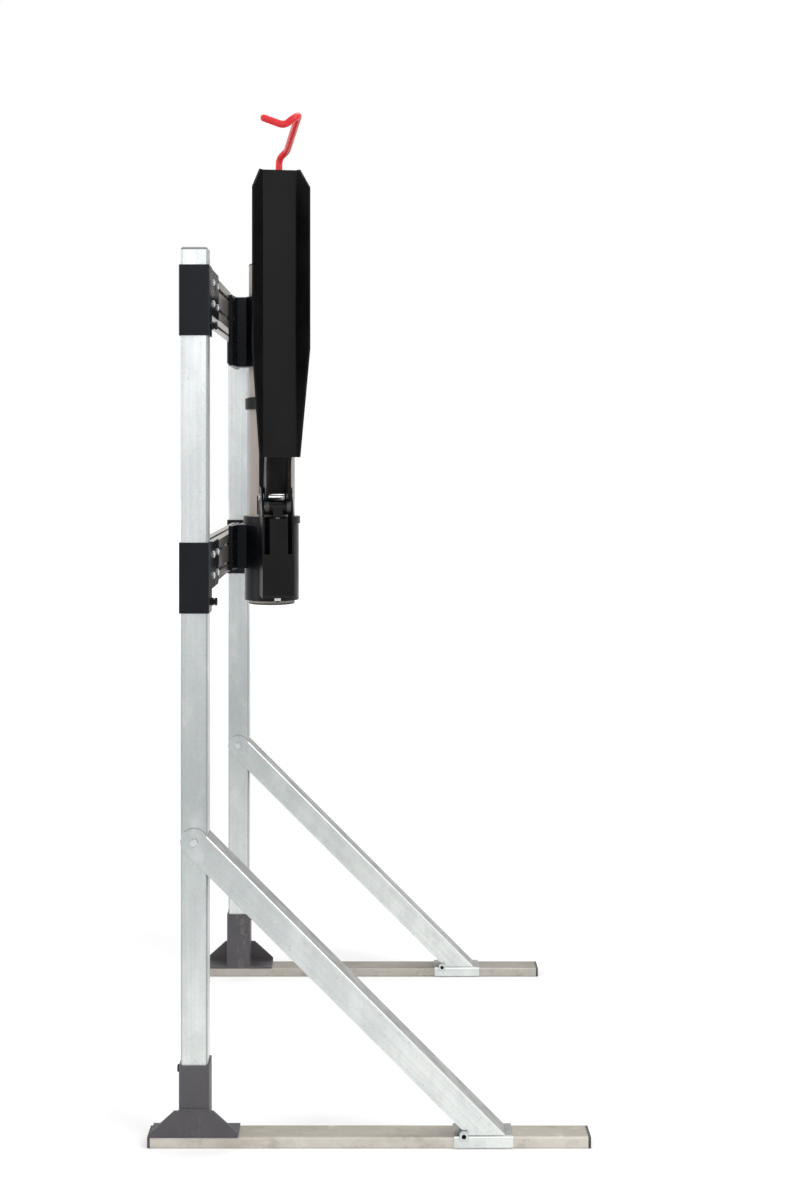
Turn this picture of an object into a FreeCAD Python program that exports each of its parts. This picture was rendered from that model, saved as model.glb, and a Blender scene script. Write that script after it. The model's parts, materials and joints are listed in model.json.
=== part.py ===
import FreeCAD, Part
import math
import os
import Sketcher
from FreeCAD import Rotation, Vector

os.makedirs("parts", exist_ok=True)
doc = FreeCAD.newDocument("bike_lift")

# Driving sizes in mm and degrees. X points away from the posts along the feet, Y from the front post
# to the rear post and Z up from the floor. The origin is on the floor, in the middle of the footprint.
# Distances in front of or behind a post are measured from the posts' centre line.
SIZES = {
    "span": (1000, "post centre to post centre"),
    "post_side": (50, "square post, outside"),
    "post_wall": (3, "post wall"),
    "post_top": (1674, "top of the post tube"),
    "cap_lip": (4.5, "height of the post cap above the tube"),
    "cap_plug": (18, "depth of the cap's plug in the tube"),
    "slip": (0.3, "slip gap around a tube in its socket"),
    "rail_width": (56, "foot rail, across"),
    "rail_height": (22, "foot rail, height"),
    "rail_wall": (2.5, "foot rail wall"),
    "rail_back": (82, "rail behind the post centre"),
    "rail_front": (734, "rail in front of the post centre"),
    "rail_cap": (5, "rail end cap, visible thickness"),
    "tube_corner": (4, "outer corner radius of posts, sleeves, rails and folded sheet"),
    "socket_wall": (3, "wall of the foot socket and of the sleeves"),
    "foot_plate": (3, "base plate of the foot bracket"),
    "plate_lap": (1, "base plate past the socket's sides"),
    "foot_back": (82, "foot bracket behind the post centre"),
    "foot_front": (82, "foot bracket in front of the post centre"),
    "flare_top": (71.5, "top of the foot gusset"),
    "flare_back": (36.5, "gusset's top edge behind the post centre"),
    "flare_front": (36.5, "gusset's top edge in front of the post centre"),
    "gusset_wall": (4, "foot gusset plate"),
    "gusset_lip": (8.5, "gusset's upright ends above the rail"),
    "socket_top": (154, "top of the foot socket"),
    "socket_bolt": (140, "height of the socket's set bolt"),
    "brace_width": (51, "brace channel, across its side"),
    "brace_wall": (3, "brace channel wall"),
    "brace_bolt": (570, "height of the brace's bolt"),
    "saddle_wall": (3, "saddle sheet"),
    "saddle_back": (484, "saddle's near end from the post centre"),
    "saddle_front": (594, "saddle's far end from the post centre"),
    "saddle_drop": (19, "saddle flange down the rail's side"),
    "lock_square": (16, "saddle's square nut, across"),
    "lock_in": (18, "saddle's square nut from its near end"),
    "lock_rise": (1, "square nut's middle above the saddle's top"),
    "sleeve_tall": (132, "sleeve height"),
    "sleeve_drop": (19.5, "sleeve's middle below the beam's middle"),
    "beam_high": (1599, "upper beam's middle"),
    "beam_low": (1081, "lower beam's middle"),
    "beam_tall": (80, "beam height"),
    "beam_deep": (40, "beam depth"),
    "groove_neck": (8.2, "T-groove mouth"),
    "groove_wide": (20, "T-groove inside width"),
    "groove_lip": (4.5, "T-groove lip"),
    "groove_deep": (12.3, "T-groove depth"),
    "groove_pitch": (40, "distance between grooves on the tall face"),
    "core_hole": (6.8, "hole along the beam's core"),
    "flange_long": (137, "sleeve flange along the beam"),
    "flange_tall": (88, "sleeve flange height"),
    "flange_edge": (27, "first flange screw from the flange's ends"),
    "screw_size": (8, "thread of every screw and bolt"),
    "screw_gap": (0.2, "gap around a screw in its hole"),
    "swivel_x": (112, "mast axis in front of the post centre"),
    "facing": (-81.5, "direction that the lift faces at rest, from X towards Y"),
    "mast_round": (100, "mast, outside diameter"),
    "mast_wall": (3, "mast wall"),
    "mast_show": (5, "mast below the lower bracket's tube"),
    "mast_top": (1700, "top of the mast tube"),
    "mast_cap": (4, "mast cap above and below the tube"),
    "bush_wall": (3, "bearing bush wall"),
    "bush_rim": (2, "bearing bush rim under the thrust collar"),
    "run_fit": (0.05, "running gap around a turning shaft"),
    "ring_wall": (6, "bracket wall around the bush"),
    "bracket_wide": (176, "bracket back plate along the beam"),
    "bracket_plate": (8, "bracket back plate thickness"),
    "bracket_neck": (50, "bracket neck along the beam"),
    "bracket_pitch": (146, "bracket bolts along the beam"),
    "low_ring_foot": (1044, "bottom of the lower bracket's plate and neck"),
    "low_tube_foot": (975, "bottom of the lower bracket's tube"),
    "low_ring_top": (1138, "top of the lower bracket"),
    "high_ring_foot": (1480, "bottom of the upper bracket"),
    "high_ring_top": (1630, "top of the upper bracket"),
    "rest_gap": (0.3, "gap between faces that meet at rest but move apart"),
    "collar_tall": (16, "thrust collar height"),
    "collar_wall": (12, "thrust collar wall"),
    "hinge_out": (98, "hinge axle in front of the mast axis"),
    "hinge_high": (1200, "hinge axle height"),
    "axle_round": (12, "hinge axle diameter"),
    "tube_round": (16, "hinge tube diameter"),
    "cheek_wall": (4, "hinge housing sheet"),
    "housing_wide": (66, "hinge housing width"),
    "housing_out": (159, "front of the hinge housing"),
    "ring_gap": (4, "gap between the housing and the bracket ring"),
    "collar_gap": (6, "gap between the housing and the top of the collar"),
    "weld_in": (10, "housing's edge inside the mast's round, before it is cut to it"),
    "housing_rise": (15, "housing's foot above the foot of the lower bracket's tube"),
    "housing_nip": (6, "corner cut at the foot of the housing's front"),
    "housing_lip": (1150, "top of the housing's front wall"),
    "slot_drop": (118, "foot of the housing's cam slots below the hinge axle"),
    "slot_gap": (2.5, "gap beside a cam plate in its slot"),
    "tower_top": (1290, "top of the housing's back wall"),
    "cheek_rise": (20, "housing's cheek above the hinge axle"),
    "tie_back": (22, "tie bar behind the hinge axle"),
    "tie_drop": (33, "tie bar below the hinge axle"),
    "tie_round": (10, "tie bar diameter"),
    "cam_base": (40, "lever arm of the lift cam, its involute's base radius"),
    "cam_wall": (6, "thickness of each lift cam plate"),
    "cam_apart": (46, "distance between the middles of the two cam plates"),
    "cam_lap": (80, "length of the cam on the back of the trough"),
    "cam_boss": (12, "radius of the cam's boss on the hinge tube"),
    "roller_round": (24, "cam roller diameter"),
    "roller_wide": (9, "width of each cam roller"),
    "roller_drop": (20, "roller axis below the hinge axle, lift up"),
    "pin_round": (8, "roller pin diameter"),
    "clevis_round": (20, "barrel and stem of the rod's cross head"),
    "clevis_drop": (22, "foot of the cross head below the roller pin"),
    "lift_swing": (100, "swing of the trough from up to down"),
    "gas_round": (28, "gas spring cylinder diameter"),
    "gas_top": (1086, "top of the gas spring cylinder"),
    "gas_base": (3, "closed end of the gas spring's bore"),
    "rod_round": (12, "gas spring rod diameter"),
    "spring_foot": (6, "floor plate under the gas spring"),
    "trough_out": (181, "back of the trough in front of the mast axis"),
    "trough_wall": (3, "trough sheet"),
    "trough_foot": (1285, "bottom of the trough"),
    "trough_top": (1880, "top of the trough"),
    "trough_flat": (72, "width of the trough's floor"),
    "trough_wide": (120, "width of the trough's mouth"),
    "trough_deep": (43, "depth of the trough's sides"),
    "trough_nip": (45, "height of the trough's corner cut at the top"),
    "trough_root": (12, "depth of the trough's sides where they end"),
    "taper_top": (1530, "height where the trough's sides reach full depth"),
    "stop_high": (1400, "height of the rubber stop"),
    "stop_round": (28, "rubber stop diameter"),
    "stop_thick": (12, "rubber stop thickness"),
    "hook_round": (14, "hook rod diameter"),
    "hook_out": (444, "hook's cross rod in front of the mast axis"),
    "hook_dip": (1928, "height of the hook's dip, on its upper side"),
    "hook_rise": (16, "hook's shoulder above the dip"),
    "tip_rise": (6, "hook's free tip above the dip"),
    "hook_shift": (14, "hook's dip to the left of the trough's middle"),
    "hook_tip": (53, "hook's free tip to the left of the trough's middle"),
    "hook_side": (14, "hook's side rod to the right of the trough's middle"),
    "hook_bend": (18, "bend radius along the hook's middle line"),
    "hook_root": (130, "hook rod down the trough's back"),
}

sheet = doc.addObject("Spreadsheet::Sheet", "Sizes")
for row, (alias, (value, note)) in enumerate(SIZES.items(), start=1):
    sheet.set(f"A{row}", alias)
    sheet.set(f"B{row}", str(value))
    sheet.setAlias(f"B{row}", alias)
    sheet.set(f"C{row}", note)
doc.recompute()


class Dim:
    """A number together with the spreadsheet expression that it comes from."""

    def __init__(self, value, text):
        self.value = float(value)
        self.text = text

    def __add__(self, other):
        other = as_dim(other)
        return Dim(self.value + other.value, f"({self.text} + {other.text})")

    def __sub__(self, other):
        other = as_dim(other)
        return Dim(self.value - other.value, f"({self.text} - {other.text})")

    def __mul__(self, other):
        other = as_dim(other)
        return Dim(self.value * other.value, f"({self.text} * {other.text})")

    def __truediv__(self, other):
        other = as_dim(other)
        return Dim(self.value / other.value, f"({self.text} / {other.text})")

    def __radd__(self, other):
        return as_dim(other) + self

    def __rsub__(self, other):
        return as_dim(other) - self

    def __rmul__(self, other):
        return as_dim(other) * self

    def __neg__(self):
        return as_dim(0) - self


def as_dim(number):
    """Any number as a Dim."""
    if isinstance(number, Dim):
        return number
    return Dim(number, f"({float(number):.6f})")


class Sizes:
    """Every driving size as an attribute."""


s = Sizes()
for alias, (value, note) in SIZES.items():
    setattr(s, alias, Dim(value, f"Sizes.{alias}"))

nodes = []
UPRIGHT = Rotation()
ALONG_X = Rotation(Vector(0, 1, 0), 90)
AGAINST_X = Rotation(Vector(0, 1, 0), -90)
ALONG_Y = Rotation(Vector(1, 0, 0), -90)
AGAINST_Y = Rotation(Vector(1, 0, 0), 90)
FAR = 4000
ROOT_HALF = math.sqrt(0.5)


def bind(obj, path, size):
    """Tie a property to the spreadsheet."""
    size = as_dim(size)
    obj.setExpression(path, size.text)


middle_x = (s.rail_front - s.rail_back) / 2


def place(obj, at, turn=UPRIGHT):
    """Put an object at a point that is given from the posts' centre line and follows the spreadsheet."""
    at = [at[0] - middle_x, as_dim(at[1]), as_dim(at[2])]
    obj.Placement = FreeCAD.Placement(Vector(*[number.value for number in at]), turn)
    for axis, number in zip("xyz", at):
        bind(obj, f".Placement.Base.{axis}", number)


def place_on_mast(obj):
    """Put an object that is drawn in the lift's own axes on the swivelling mast."""
    axis_x = s.swivel_x - middle_x
    obj.Placement = FreeCAD.Placement(Vector(axis_x.value, 0, 0), Rotation(Vector(0, 0, 1), s.facing.value))
    bind(obj, ".Placement.Base.x", axis_x)
    bind(obj, ".Placement.Rotation.Angle", s.facing)


def node(obj, label):
    """Name an object as one node of the part."""
    obj.Label = label
    nodes.append(obj)
    return obj


def new_body(label, at=None, turn=UPRIGHT):
    """A body at a point, or on the mast where no point is given."""
    body = doc.addObject("PartDesign::Body", label)
    if at is None:
        place_on_mast(body)
    else:
        place(body, at, turn)
    return body


def pin_point(sketch, curve, point, x, y):
    """Fix one point of a sketch by its distances from the origin."""
    for kind, number in (("DistanceX", as_dim(x)), ("DistanceY", as_dim(y))):
        index = sketch.addConstraint(Sketcher.Constraint(kind, -1, 1, curve, point, number.value))
        bind(sketch, f"Constraints[{index}]", number)


def draw(body, role, outlines=(), circles=(), lift=0):
    """A sketch of closed outlines and circles on one of the body's origin planes."""
    sketch = body.newObject("Sketcher::SketchObject", body.Name + "_sketch")
    plane = next(item for item in body.Origin.OriginFeatures if item.Role == role)
    sketch.AttachmentSupport = [(plane, "")]
    sketch.MapMode = "FlatFace"
    bind(sketch, ".AttachmentOffset.Base.z", lift)
    for outline in outlines:
        first = sketch.GeometryCount
        corners = [(as_dim(x), as_dim(y)) for x, y in outline]
        flat = [Vector(x.value, y.value, 0) for x, y in corners]
        for start, end in zip(flat, flat[1:] + flat[:1]):
            sketch.addGeometry(Part.LineSegment(start, end), False)
        for index in range(len(flat)):
            after = first + (index + 1) % len(flat)
            sketch.addConstraint(Sketcher.Constraint("Coincident", first + index, 2, after, 1))
        for index, (x, y) in enumerate(corners):
            pin_point(sketch, first + index, 1, x, y)
    for x, y, radius in circles:
        x, y, radius = as_dim(x), as_dim(y), as_dim(radius)
        circle = Part.Circle(Vector(x.value, y.value, 0), Vector(0, 0, 1), radius.value)
        curve = sketch.addGeometry(circle, False)
        index = sketch.addConstraint(Sketcher.Constraint("Radius", curve, radius.value))
        bind(sketch, f"Constraints[{index}]", radius)
        pin_point(sketch, curve, 3, x, y)
    return sketch


def extrude(kind, body, sketch, length, middle=False, back=False):
    """Pad or pocket a sketch, to one side or about its plane."""
    feature = body.newObject("PartDesign::" + kind, body.Name + "_" + kind.lower())
    feature.Profile = sketch
    feature.SideType = "Symmetric" if middle else "One side"
    feature.Reversed = back
    bind(feature, "Length", length)
    sketch.Visibility = False
    body.Tip = feature
    return feature


def pad(body, sketch, length, middle=False, back=False):
    return extrude("Pad", body, sketch, length, middle, back)


def pocket(body, sketch, length=FAR, middle=True, back=False):
    return extrude("Pocket", body, sketch, length, middle, back)


def spin(body, outline):
    """Turn an outline in X and Z about the body's own Z axis."""
    sketch = draw(body, "XZ_Plane", [outline])
    feature = body.newObject("PartDesign::Revolution", body.Name + "_turned")
    feature.Profile = sketch
    feature.ReferenceAxis = (sketch, ["V_Axis"])
    feature.Angle = 360
    body.Tip = feature
    return feature


def round_edges(body, radius, wanted):
    """Fillet the edges of a body's last feature that pass a test."""
    doc.recompute()
    tip = body.Tip
    names = [f"Edge{index}" for index, edge in enumerate(tip.Shape.Edges, start=1) if wanted(edge)]
    feature = body.newObject("PartDesign::Fillet", body.Name + "_rounded")
    feature.Base = (tip, names)
    bind(feature, "Radius", radius)
    body.Tip = feature
    return feature


def runs_along(axis, *spots):
    """A test for straight edges along an axis that pass through one of some spots on the other two."""
    across = [index for index in range(3) if index != axis]

    def wanted(edge):
        if edge.Curve.TypeId != "Part::GeomLine" or abs(edge.tangentAt(edge.FirstParameter)[axis]) < 0.999:
            return False
        middle = edge.CenterOfMass
        return any(math.hypot(middle[across[0]] - a, middle[across[1]] - b) < 0.01 for a, b in spots)

    return wanted


def corners_of(side):
    """The four corners of a square about the axis, as plain numbers."""
    half = as_dim(side).value / 2
    return [(x * half, y * half) for x in (-1, 1) for y in (-1, 1)]


def rectangle(left, low, right, high):
    return [(left, low), (right, low), (right, high), (left, high)]


def square(side):
    return rectangle(-side / 2, -side / 2, side / 2, side / 2)


def group(label, links):
    """One node of separate solids, each a link to a master piece."""
    compound = doc.addObject("Part::Compound", label)
    compound.Links = links
    return node(compound, label)


def link(master, at, turn=UPRIGHT):
    copy = doc.addObject("App::Link", master.Name + "_copy")
    copy.LinkedObject = master
    place(copy, at, turn)
    return copy


# Fasteners. Each master stands with its seat at Z = 0 and its shank below.
HEX_HEAD = 5.3
HEX_CORNER = 7.5
NUT_TALL = 6.5
NUT_SQUARE = 13
ROUND_HEAD = 4.4
ROUND_HEAD_RADIUS = 7
KEY_CORNER = 2.9
KEY_DEEP = 3


def hexagon(name, corner, height, low):
    prism = doc.addObject("Part::Prism", name)
    prism.Polygon = 6
    prism.Circumradius = corner
    prism.Height = height
    bind(prism, ".Placement.Base.z", low)
    return prism


def cylinder(name, radius, height, low):
    shape = doc.addObject("Part::Cylinder", name)
    bind(shape, "Radius", radius)
    bind(shape, "Height", height)
    bind(shape, ".Placement.Base.z", low)
    return shape


def boolean(kind, name, base, tool):
    result = doc.addObject("Part::" + kind, name)
    result.Base = base
    result.Tool = tool
    return result


def hex_bolt(name, shank):
    head = hexagon(name + "_head", HEX_CORNER, HEX_HEAD, 0)
    return boolean("Fuse", name, head, cylinder(name + "_shank", s.screw_size / 2, shank, -as_dim(shank)))


def hex_nut(name):
    hole = cylinder(name + "_hole", s.screw_size / 2 + s.screw_gap, NUT_TALL + 2, -1)
    return boolean("Cut", name, hexagon(name + "_blank", HEX_CORNER, NUT_TALL, 0), hole)


def key_screw(name, shank):
    body = new_body(name, (0, 0, 0))
    half = s.screw_size / 2
    spin(body, [(0, -as_dim(shank)), (half, -as_dim(shank)), (half, 0), (ROUND_HEAD_RADIUS, 0),
                (ROUND_HEAD_RADIUS, ROUND_HEAD), (0, ROUND_HEAD)])
    turns = [math.radians(60 * step) for step in range(6)]
    key = [(KEY_CORNER * math.cos(turn), KEY_CORNER * math.sin(turn)) for turn in turns]
    pocket(body, draw(body, "XY_Plane", [key], lift=ROUND_HEAD), KEY_DEEP, middle=False)
    return body


# The two sides of the frame. Everything on them repeats at both posts.
SIDES = (("front", -s.span / 2, 1), ("rear", s.span / 2, -1))
half_post = s.post_side / 2
inner_post = s.post_side - 2 * s.post_wall
socket_in = s.post_side + 2 * s.slip
socket_out = socket_in + 2 * s.socket_wall
post_foot = s.rail_height + s.foot_plate
saddle_top = s.rail_height + s.saddle_wall
screw_hole = s.screw_size / 2 + s.screw_gap

for side, post_y, inward in SIDES:
    post = new_body("post_" + side, (0, post_y, post_foot))
    pad(post, draw(post, "XY_Plane", [square(s.post_side), square(inner_post)]), s.post_top - post_foot)
    round_edges(post, s.tube_corner, runs_along(2, *corners_of(s.post_side)))
    pocket(post, draw(post, "XZ_Plane", circles=[(0, s.brace_bolt - post_foot, screw_hole)]))
    node(post, "post_" + side)

    cap = new_body("post_cap_" + side, (0, post_y, s.post_top))
    pad(cap, draw(cap, "XY_Plane", [square(s.post_side)]), s.cap_lip)
    corner = runs_along(2, *corners_of(s.post_side))
    round_edges(cap, s.tube_corner, lambda edge: corner(edge) or edge.BoundBox.ZMin > s.cap_lip.value - 0.01)
    pad(cap, draw(cap, "XY_Plane", [square(inner_post - 2 * s.slip)]), s.cap_plug, back=True)
    node(cap, "post_cap_" + side)

    # The rail is a flat tube with its open ends plugged by caps.
    rail = new_body("foot_rail_" + side, (-s.rail_back, post_y, 0), Rotation(Vector(1, 1, 1), 120))
    bore_half = s.rail_width / 2 - s.rail_wall
    pad(rail, draw(rail, "XY_Plane", [
        rectangle(-s.rail_width / 2, 0, s.rail_width / 2, s.rail_height),
        rectangle(-bore_half, s.rail_wall, bore_half, s.rail_height - s.rail_wall),
    ]), s.rail_back + s.rail_front)
    rail_edge = s.rail_width.value / 2
    round_edges(rail, s.tube_corner, runs_along(2, *[(x, y) for x in (-rail_edge, rail_edge)
                                                     for y in (0, s.rail_height.value)]))
    node(rail, "foot_rail_" + side)

    # The foot is a plate on the rail with a square socket and one sloping gusset on the outer side.
    foot = new_body("foot_bracket_" + side, (0, post_y, s.rail_height))
    plate_half = socket_out / 2 + s.plate_lap
    plate = rectangle(-s.foot_back, -plate_half, s.foot_front, plate_half)
    pad(foot, draw(foot, "XY_Plane", [plate]), s.foot_plate)
    pad(foot, draw(foot, "XY_Plane", [square(socket_out)], lift=s.foot_plate), s.socket_top - post_foot)
    round_edges(foot, s.tube_corner, runs_along(2, *corners_of(socket_out)))
    gusset_top = s.flare_top - s.rail_height
    pad(foot, draw(foot, "XZ_Plane", [[
        (-s.foot_back, 0), (s.foot_front, 0), (s.foot_front, s.gusset_lip), (s.flare_front, gusset_top),
        (-s.flare_back, gusset_top), (-s.foot_back, s.gusset_lip),
    ]], lift=inward * (socket_out / 2 - s.plate_lap)), s.gusset_wall + s.plate_lap, back=inward < 0)
    pocket(foot, draw(foot, "XY_Plane", [square(socket_in)], lift=s.foot_plate),
           s.socket_top - post_foot, middle=False, back=True)
    bolt_rise = s.socket_bolt - s.rail_height
    pocket(foot, draw(foot, "YZ_Plane", circles=[(0, bolt_rise, screw_hole)]), middle=False, back=inward < 0)
    node(foot, "foot_bracket_" + side)

    # The brace is a channel at 45 degrees: its sides pass the post, its web stops short of it.
    brace = new_body("brace_" + side, (0, post_y, 0))
    edge = s.brace_width / 2 * ROOT_HALF
    upper_sum = s.brace_bolt + 2 * edge
    lower_sum = s.brace_bolt - 2 * edge
    brace_in = socket_in
    brace_out = brace_in + 2 * s.brace_wall
    pad(brace, draw(brace, "XZ_Plane", [[
        (edge, s.brace_bolt + edge), (upper_sum - saddle_top, saddle_top),
        (lower_sum - saddle_top, saddle_top), (-edge, s.brace_bolt - edge),
    ]]), brace_out, middle=True)
    fold_x = ((edge + upper_sum - saddle_top) / 2).value
    fold_half = brace_out.value / 2
    folds = [Vector(fold_x, y, upper_sum.value - fold_x) for y in (-fold_half, fold_half)]
    round_edges(brace, s.tube_corner,
                lambda edge: any((edge.CenterOfMass - spot).Length < 0.1 for spot in folds))
    brace_end = (0, s.brace_bolt, s.brace_width / 2)
    pad(brace, draw(brace, "XZ_Plane", circles=[brace_end]), brace_out, middle=True)
    web_sum = upper_sum - s.brace_wall / ROOT_HALF
    past = 80
    pocket(brace, draw(brace, "XZ_Plane", [[
        (-past, web_sum + past), (web_sum + past, -past),
        (lower_sum - past, -past), (-past, lower_sum - past),
    ]]), brace_in)
    pocket(brace, draw(brace, "XZ_Plane", [
        rectangle(-past, s.brace_bolt - 2 * past, socket_in / 2, s.brace_bolt + 2 * past)
    ]), brace_in)
    pocket(brace, draw(brace, "XZ_Plane", circles=[(0, s.brace_bolt, screw_hole)]))
    node(brace, "brace_" + side)

    # The saddle is a folded sheet over the rail.
    saddle = new_body("saddle_" + side, (s.saddle_back, post_y, 0), Rotation(Vector(1, 1, 1), 120))
    inside = s.rail_width / 2 + s.slip
    outside = inside + s.saddle_wall
    hem = s.rail_height - s.saddle_drop
    pad(saddle, draw(saddle, "XY_Plane", [[
        (-outside, hem), (-inside, hem), (-inside, s.rail_height), (inside, s.rail_height),
        (inside, hem), (outside, hem), (outside, saddle_top), (-outside, saddle_top),
    ]]), s.saddle_front - s.saddle_back)
    saddle_folds = [(x, saddle_top.value) for x in (-outside.value, outside.value)]
    round_edges(saddle, s.tube_corner, runs_along(2, *saddle_folds))
    node(saddle, "saddle_" + side)

    # Each sleeve carries a flange that lies on the beam's front face.
    for level, beam_middle in (("upper", s.beam_high), ("lower", s.beam_low)):
        name = f"sleeve_{level}_{side}"
        sleeve = new_body(name, (0, post_y, beam_middle))
        sleeve_foot = -s.sleeve_drop - s.sleeve_tall / 2
        walls = [square(socket_out), square(socket_in)]
        pad(sleeve, draw(sleeve, "XY_Plane", walls, lift=sleeve_foot), s.sleeve_tall)
        half_out = socket_out.value / 2
        kept = (half_out, inward * half_out)
        rounded = [spot for spot in corners_of(socket_out) if spot != kept]
        round_edges(sleeve, s.tube_corner, runs_along(2, *rounded))
        start = inward * (socket_out / 2 - s.socket_wall)
        end = inward * (socket_out / 2 + s.flange_long)
        corner = inward * (socket_out / 2 + s.flange_long - 10)
        rise = s.flange_tall / 2
        pad(sleeve, draw(sleeve, "YZ_Plane", [[
            (start, -rise), (corner, -rise), (end, 10 - rise),
            (end, rise - 10), (corner, rise), (start, rise),
        ]], lift=socket_in / 2), s.socket_wall)
        first = inward * (socket_out / 2 + s.flange_edge)
        second = inward * (socket_out / 2 + s.flange_long - s.flange_edge)
        rows = (-s.groove_pitch / 2, s.groove_pitch / 2)
        holes = [(y, z, screw_hole) for y in (first, second) for z in rows]
        holes.append((0, sleeve_foot + 20, screw_hole))
        drilled = draw(sleeve, "YZ_Plane", circles=holes, lift=socket_in / 2 - 1)
        pocket(sleeve, drilled, 20, middle=False, back=True)
        node(sleeve, name)

# Rail end caps, a plug and a lip each.
rail_cap = new_body("rail_cap", (0, 0, 0))
lip_half = s.rail_width / 2
pad(rail_cap, draw(rail_cap, "YZ_Plane", [rectangle(-lip_half, 0, lip_half, s.rail_height)]), s.rail_cap)
round_edges(rail_cap, s.tube_corner, runs_along(0, *[(y, z) for y in (-rail_edge, rail_edge)
                                                     for z in (0, s.rail_height.value)]))
plug_half = lip_half - s.rail_wall - s.slip
plug_low = s.rail_wall + s.slip
plug = [rectangle(-plug_half, plug_low, plug_half, s.rail_height - plug_low)]
pad(rail_cap, draw(rail_cap, "YZ_Plane", plug), 15, back=True)
BACKWARDS = Rotation(Vector(0, 0, 1), 180)
group("rail_caps", [
    link(rail_cap, (x, post_y, 0), turn)
    for side, post_y, inward in SIDES
    for x, turn in ((s.rail_front, UPRIGHT), (-s.rail_back, BACKWARDS))
])

# The beams run between the sleeves, behind the flanges.
flange_back = socket_in / 2
beam_half_long = s.span / 2 - socket_out / 2 - s.slip


def tee(mouth_x, mouth_z, out_x, out_z):
    """Outline of one T-groove whose mouth faces along out_x, out_z."""
    steps = [(s.groove_neck / 2, -1), (s.groove_neck / 2, s.groove_lip), (s.groove_wide / 2, s.groove_lip),
             (s.groove_wide / 2, s.groove_deep - 5), (s.groove_neck / 2, s.groove_deep)]
    walk = steps + [(-across, deep) for across, deep in reversed(steps)]
    return [(mouth_x - out_x * deep + out_z * across, mouth_z - out_z * deep + out_x * across)
            for across, deep in walk]


for level, beam_middle in (("upper", s.beam_high), ("lower", s.beam_low)):
    beam = new_body("beam_" + level, (flange_back - s.beam_deep / 2, 0, beam_middle))
    half_deep = s.beam_deep / 2
    half_tall = s.beam_tall / 2
    pad(beam, draw(beam, "XZ_Plane", [rectangle(-half_deep, -half_tall, half_deep, half_tall)]),
        2 * beam_half_long, middle=True)
    row = s.groove_pitch / 2
    grooves = [tee(half_deep, row, 1, 0), tee(half_deep, -row, 1, 0), tee(-half_deep, row, -1, 0),
               tee(-half_deep, -row, -1, 0), tee(0, half_tall, 0, 1), tee(0, -half_tall, 0, -1)]
    cores = [(0, row, s.core_hole / 2), (0, -row, s.core_hole / 2)]
    pocket(beam, draw(beam, "XZ_Plane", grooves, cores))
    node(beam, "beam_" + level)

# Screws and bolts of the frame.
nut_face = flange_back - s.groove_lip
NUT_THICK = 5.5
flange_grip = s.socket_wall + s.groove_lip
bracket_grip = s.bracket_plate + s.groove_lip
flange_screw = key_screw("flange_screw", flange_grip)
bracket_screw = key_screw("bracket_screw", bracket_grip)
tee_nut = new_body("tee_nut", (0, 0, 0))
pad(tee_nut, draw(tee_nut, "XY_Plane", [square(as_dim(NUT_SQUARE))]), NUT_THICK, back=True)
flange_spots = []
for side, post_y, inward in SIDES:
    for reach in (s.flange_edge, s.flange_long - s.flange_edge):
        for beam_middle in (s.beam_high, s.beam_low):
            for row in (-s.groove_pitch / 2, s.groove_pitch / 2):
                flange_spots.append((post_y + inward * (socket_out / 2 + reach), beam_middle + row))
bracket_spots = [(y, beam_middle + row) for y in (-s.bracket_pitch / 2, s.bracket_pitch / 2)
                 for beam_middle in (s.beam_high, s.beam_low)
                 for row in (-s.groove_pitch / 2, s.groove_pitch / 2)]
group("beam_screws", [link(flange_screw, (socket_out / 2, y, z), ALONG_X) for y, z in flange_spots])
group("beam_nuts", [link(tee_nut, (nut_face, y, z), ALONG_X) for y, z in flange_spots])
bracket_front = flange_back + s.bracket_plate
group("bracket_screws", [link(bracket_screw, (bracket_front, y, z), ALONG_X) for y, z in bracket_spots])
group("bracket_nuts", [link(tee_nut, (nut_face, y, z), ALONG_X) for y, z in bracket_spots])

weld_nut = hex_nut("weld_nut")
set_bolt = hex_bolt("set_bolt", NUT_TALL + 1 + s.socket_wall + s.slip)
sleeve_bolts = []
for side, post_y, inward in SIDES:
    for beam_middle in (s.beam_high, s.beam_low):
        height = beam_middle - s.sleeve_drop - s.sleeve_tall / 2 + 20
        sleeve_bolts.append(link(weld_nut, (socket_out / 2, post_y, height), ALONG_X))
        sleeve_bolts.append(link(set_bolt, (socket_out / 2 + NUT_TALL + 1, post_y, height), ALONG_X))
group("sleeve_bolts", sleeve_bolts)
low_bolt = hex_bolt("low_bolt", s.socket_wall + s.slip)
socket_bolts = []
for side, post_y, inward in SIDES:
    turn = AGAINST_X if inward > 0 else ALONG_X
    socket_bolts.append(link(low_bolt, (-inward * socket_out / 2, post_y, s.socket_bolt), turn))
group("socket_bolts", socket_bolts)
brace_screw = hex_bolt("brace_screw", brace_out + NUT_TALL + 3)
brace_bolts = []
for side, post_y, inward in SIDES:
    brace_bolts.append(link(brace_screw, (0, post_y - brace_out / 2, s.brace_bolt), AGAINST_Y))
    brace_bolts.append(link(weld_nut, (0, post_y + brace_out / 2, s.brace_bolt), ALONG_Y))
group("brace_bolts", brace_bolts)

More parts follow.
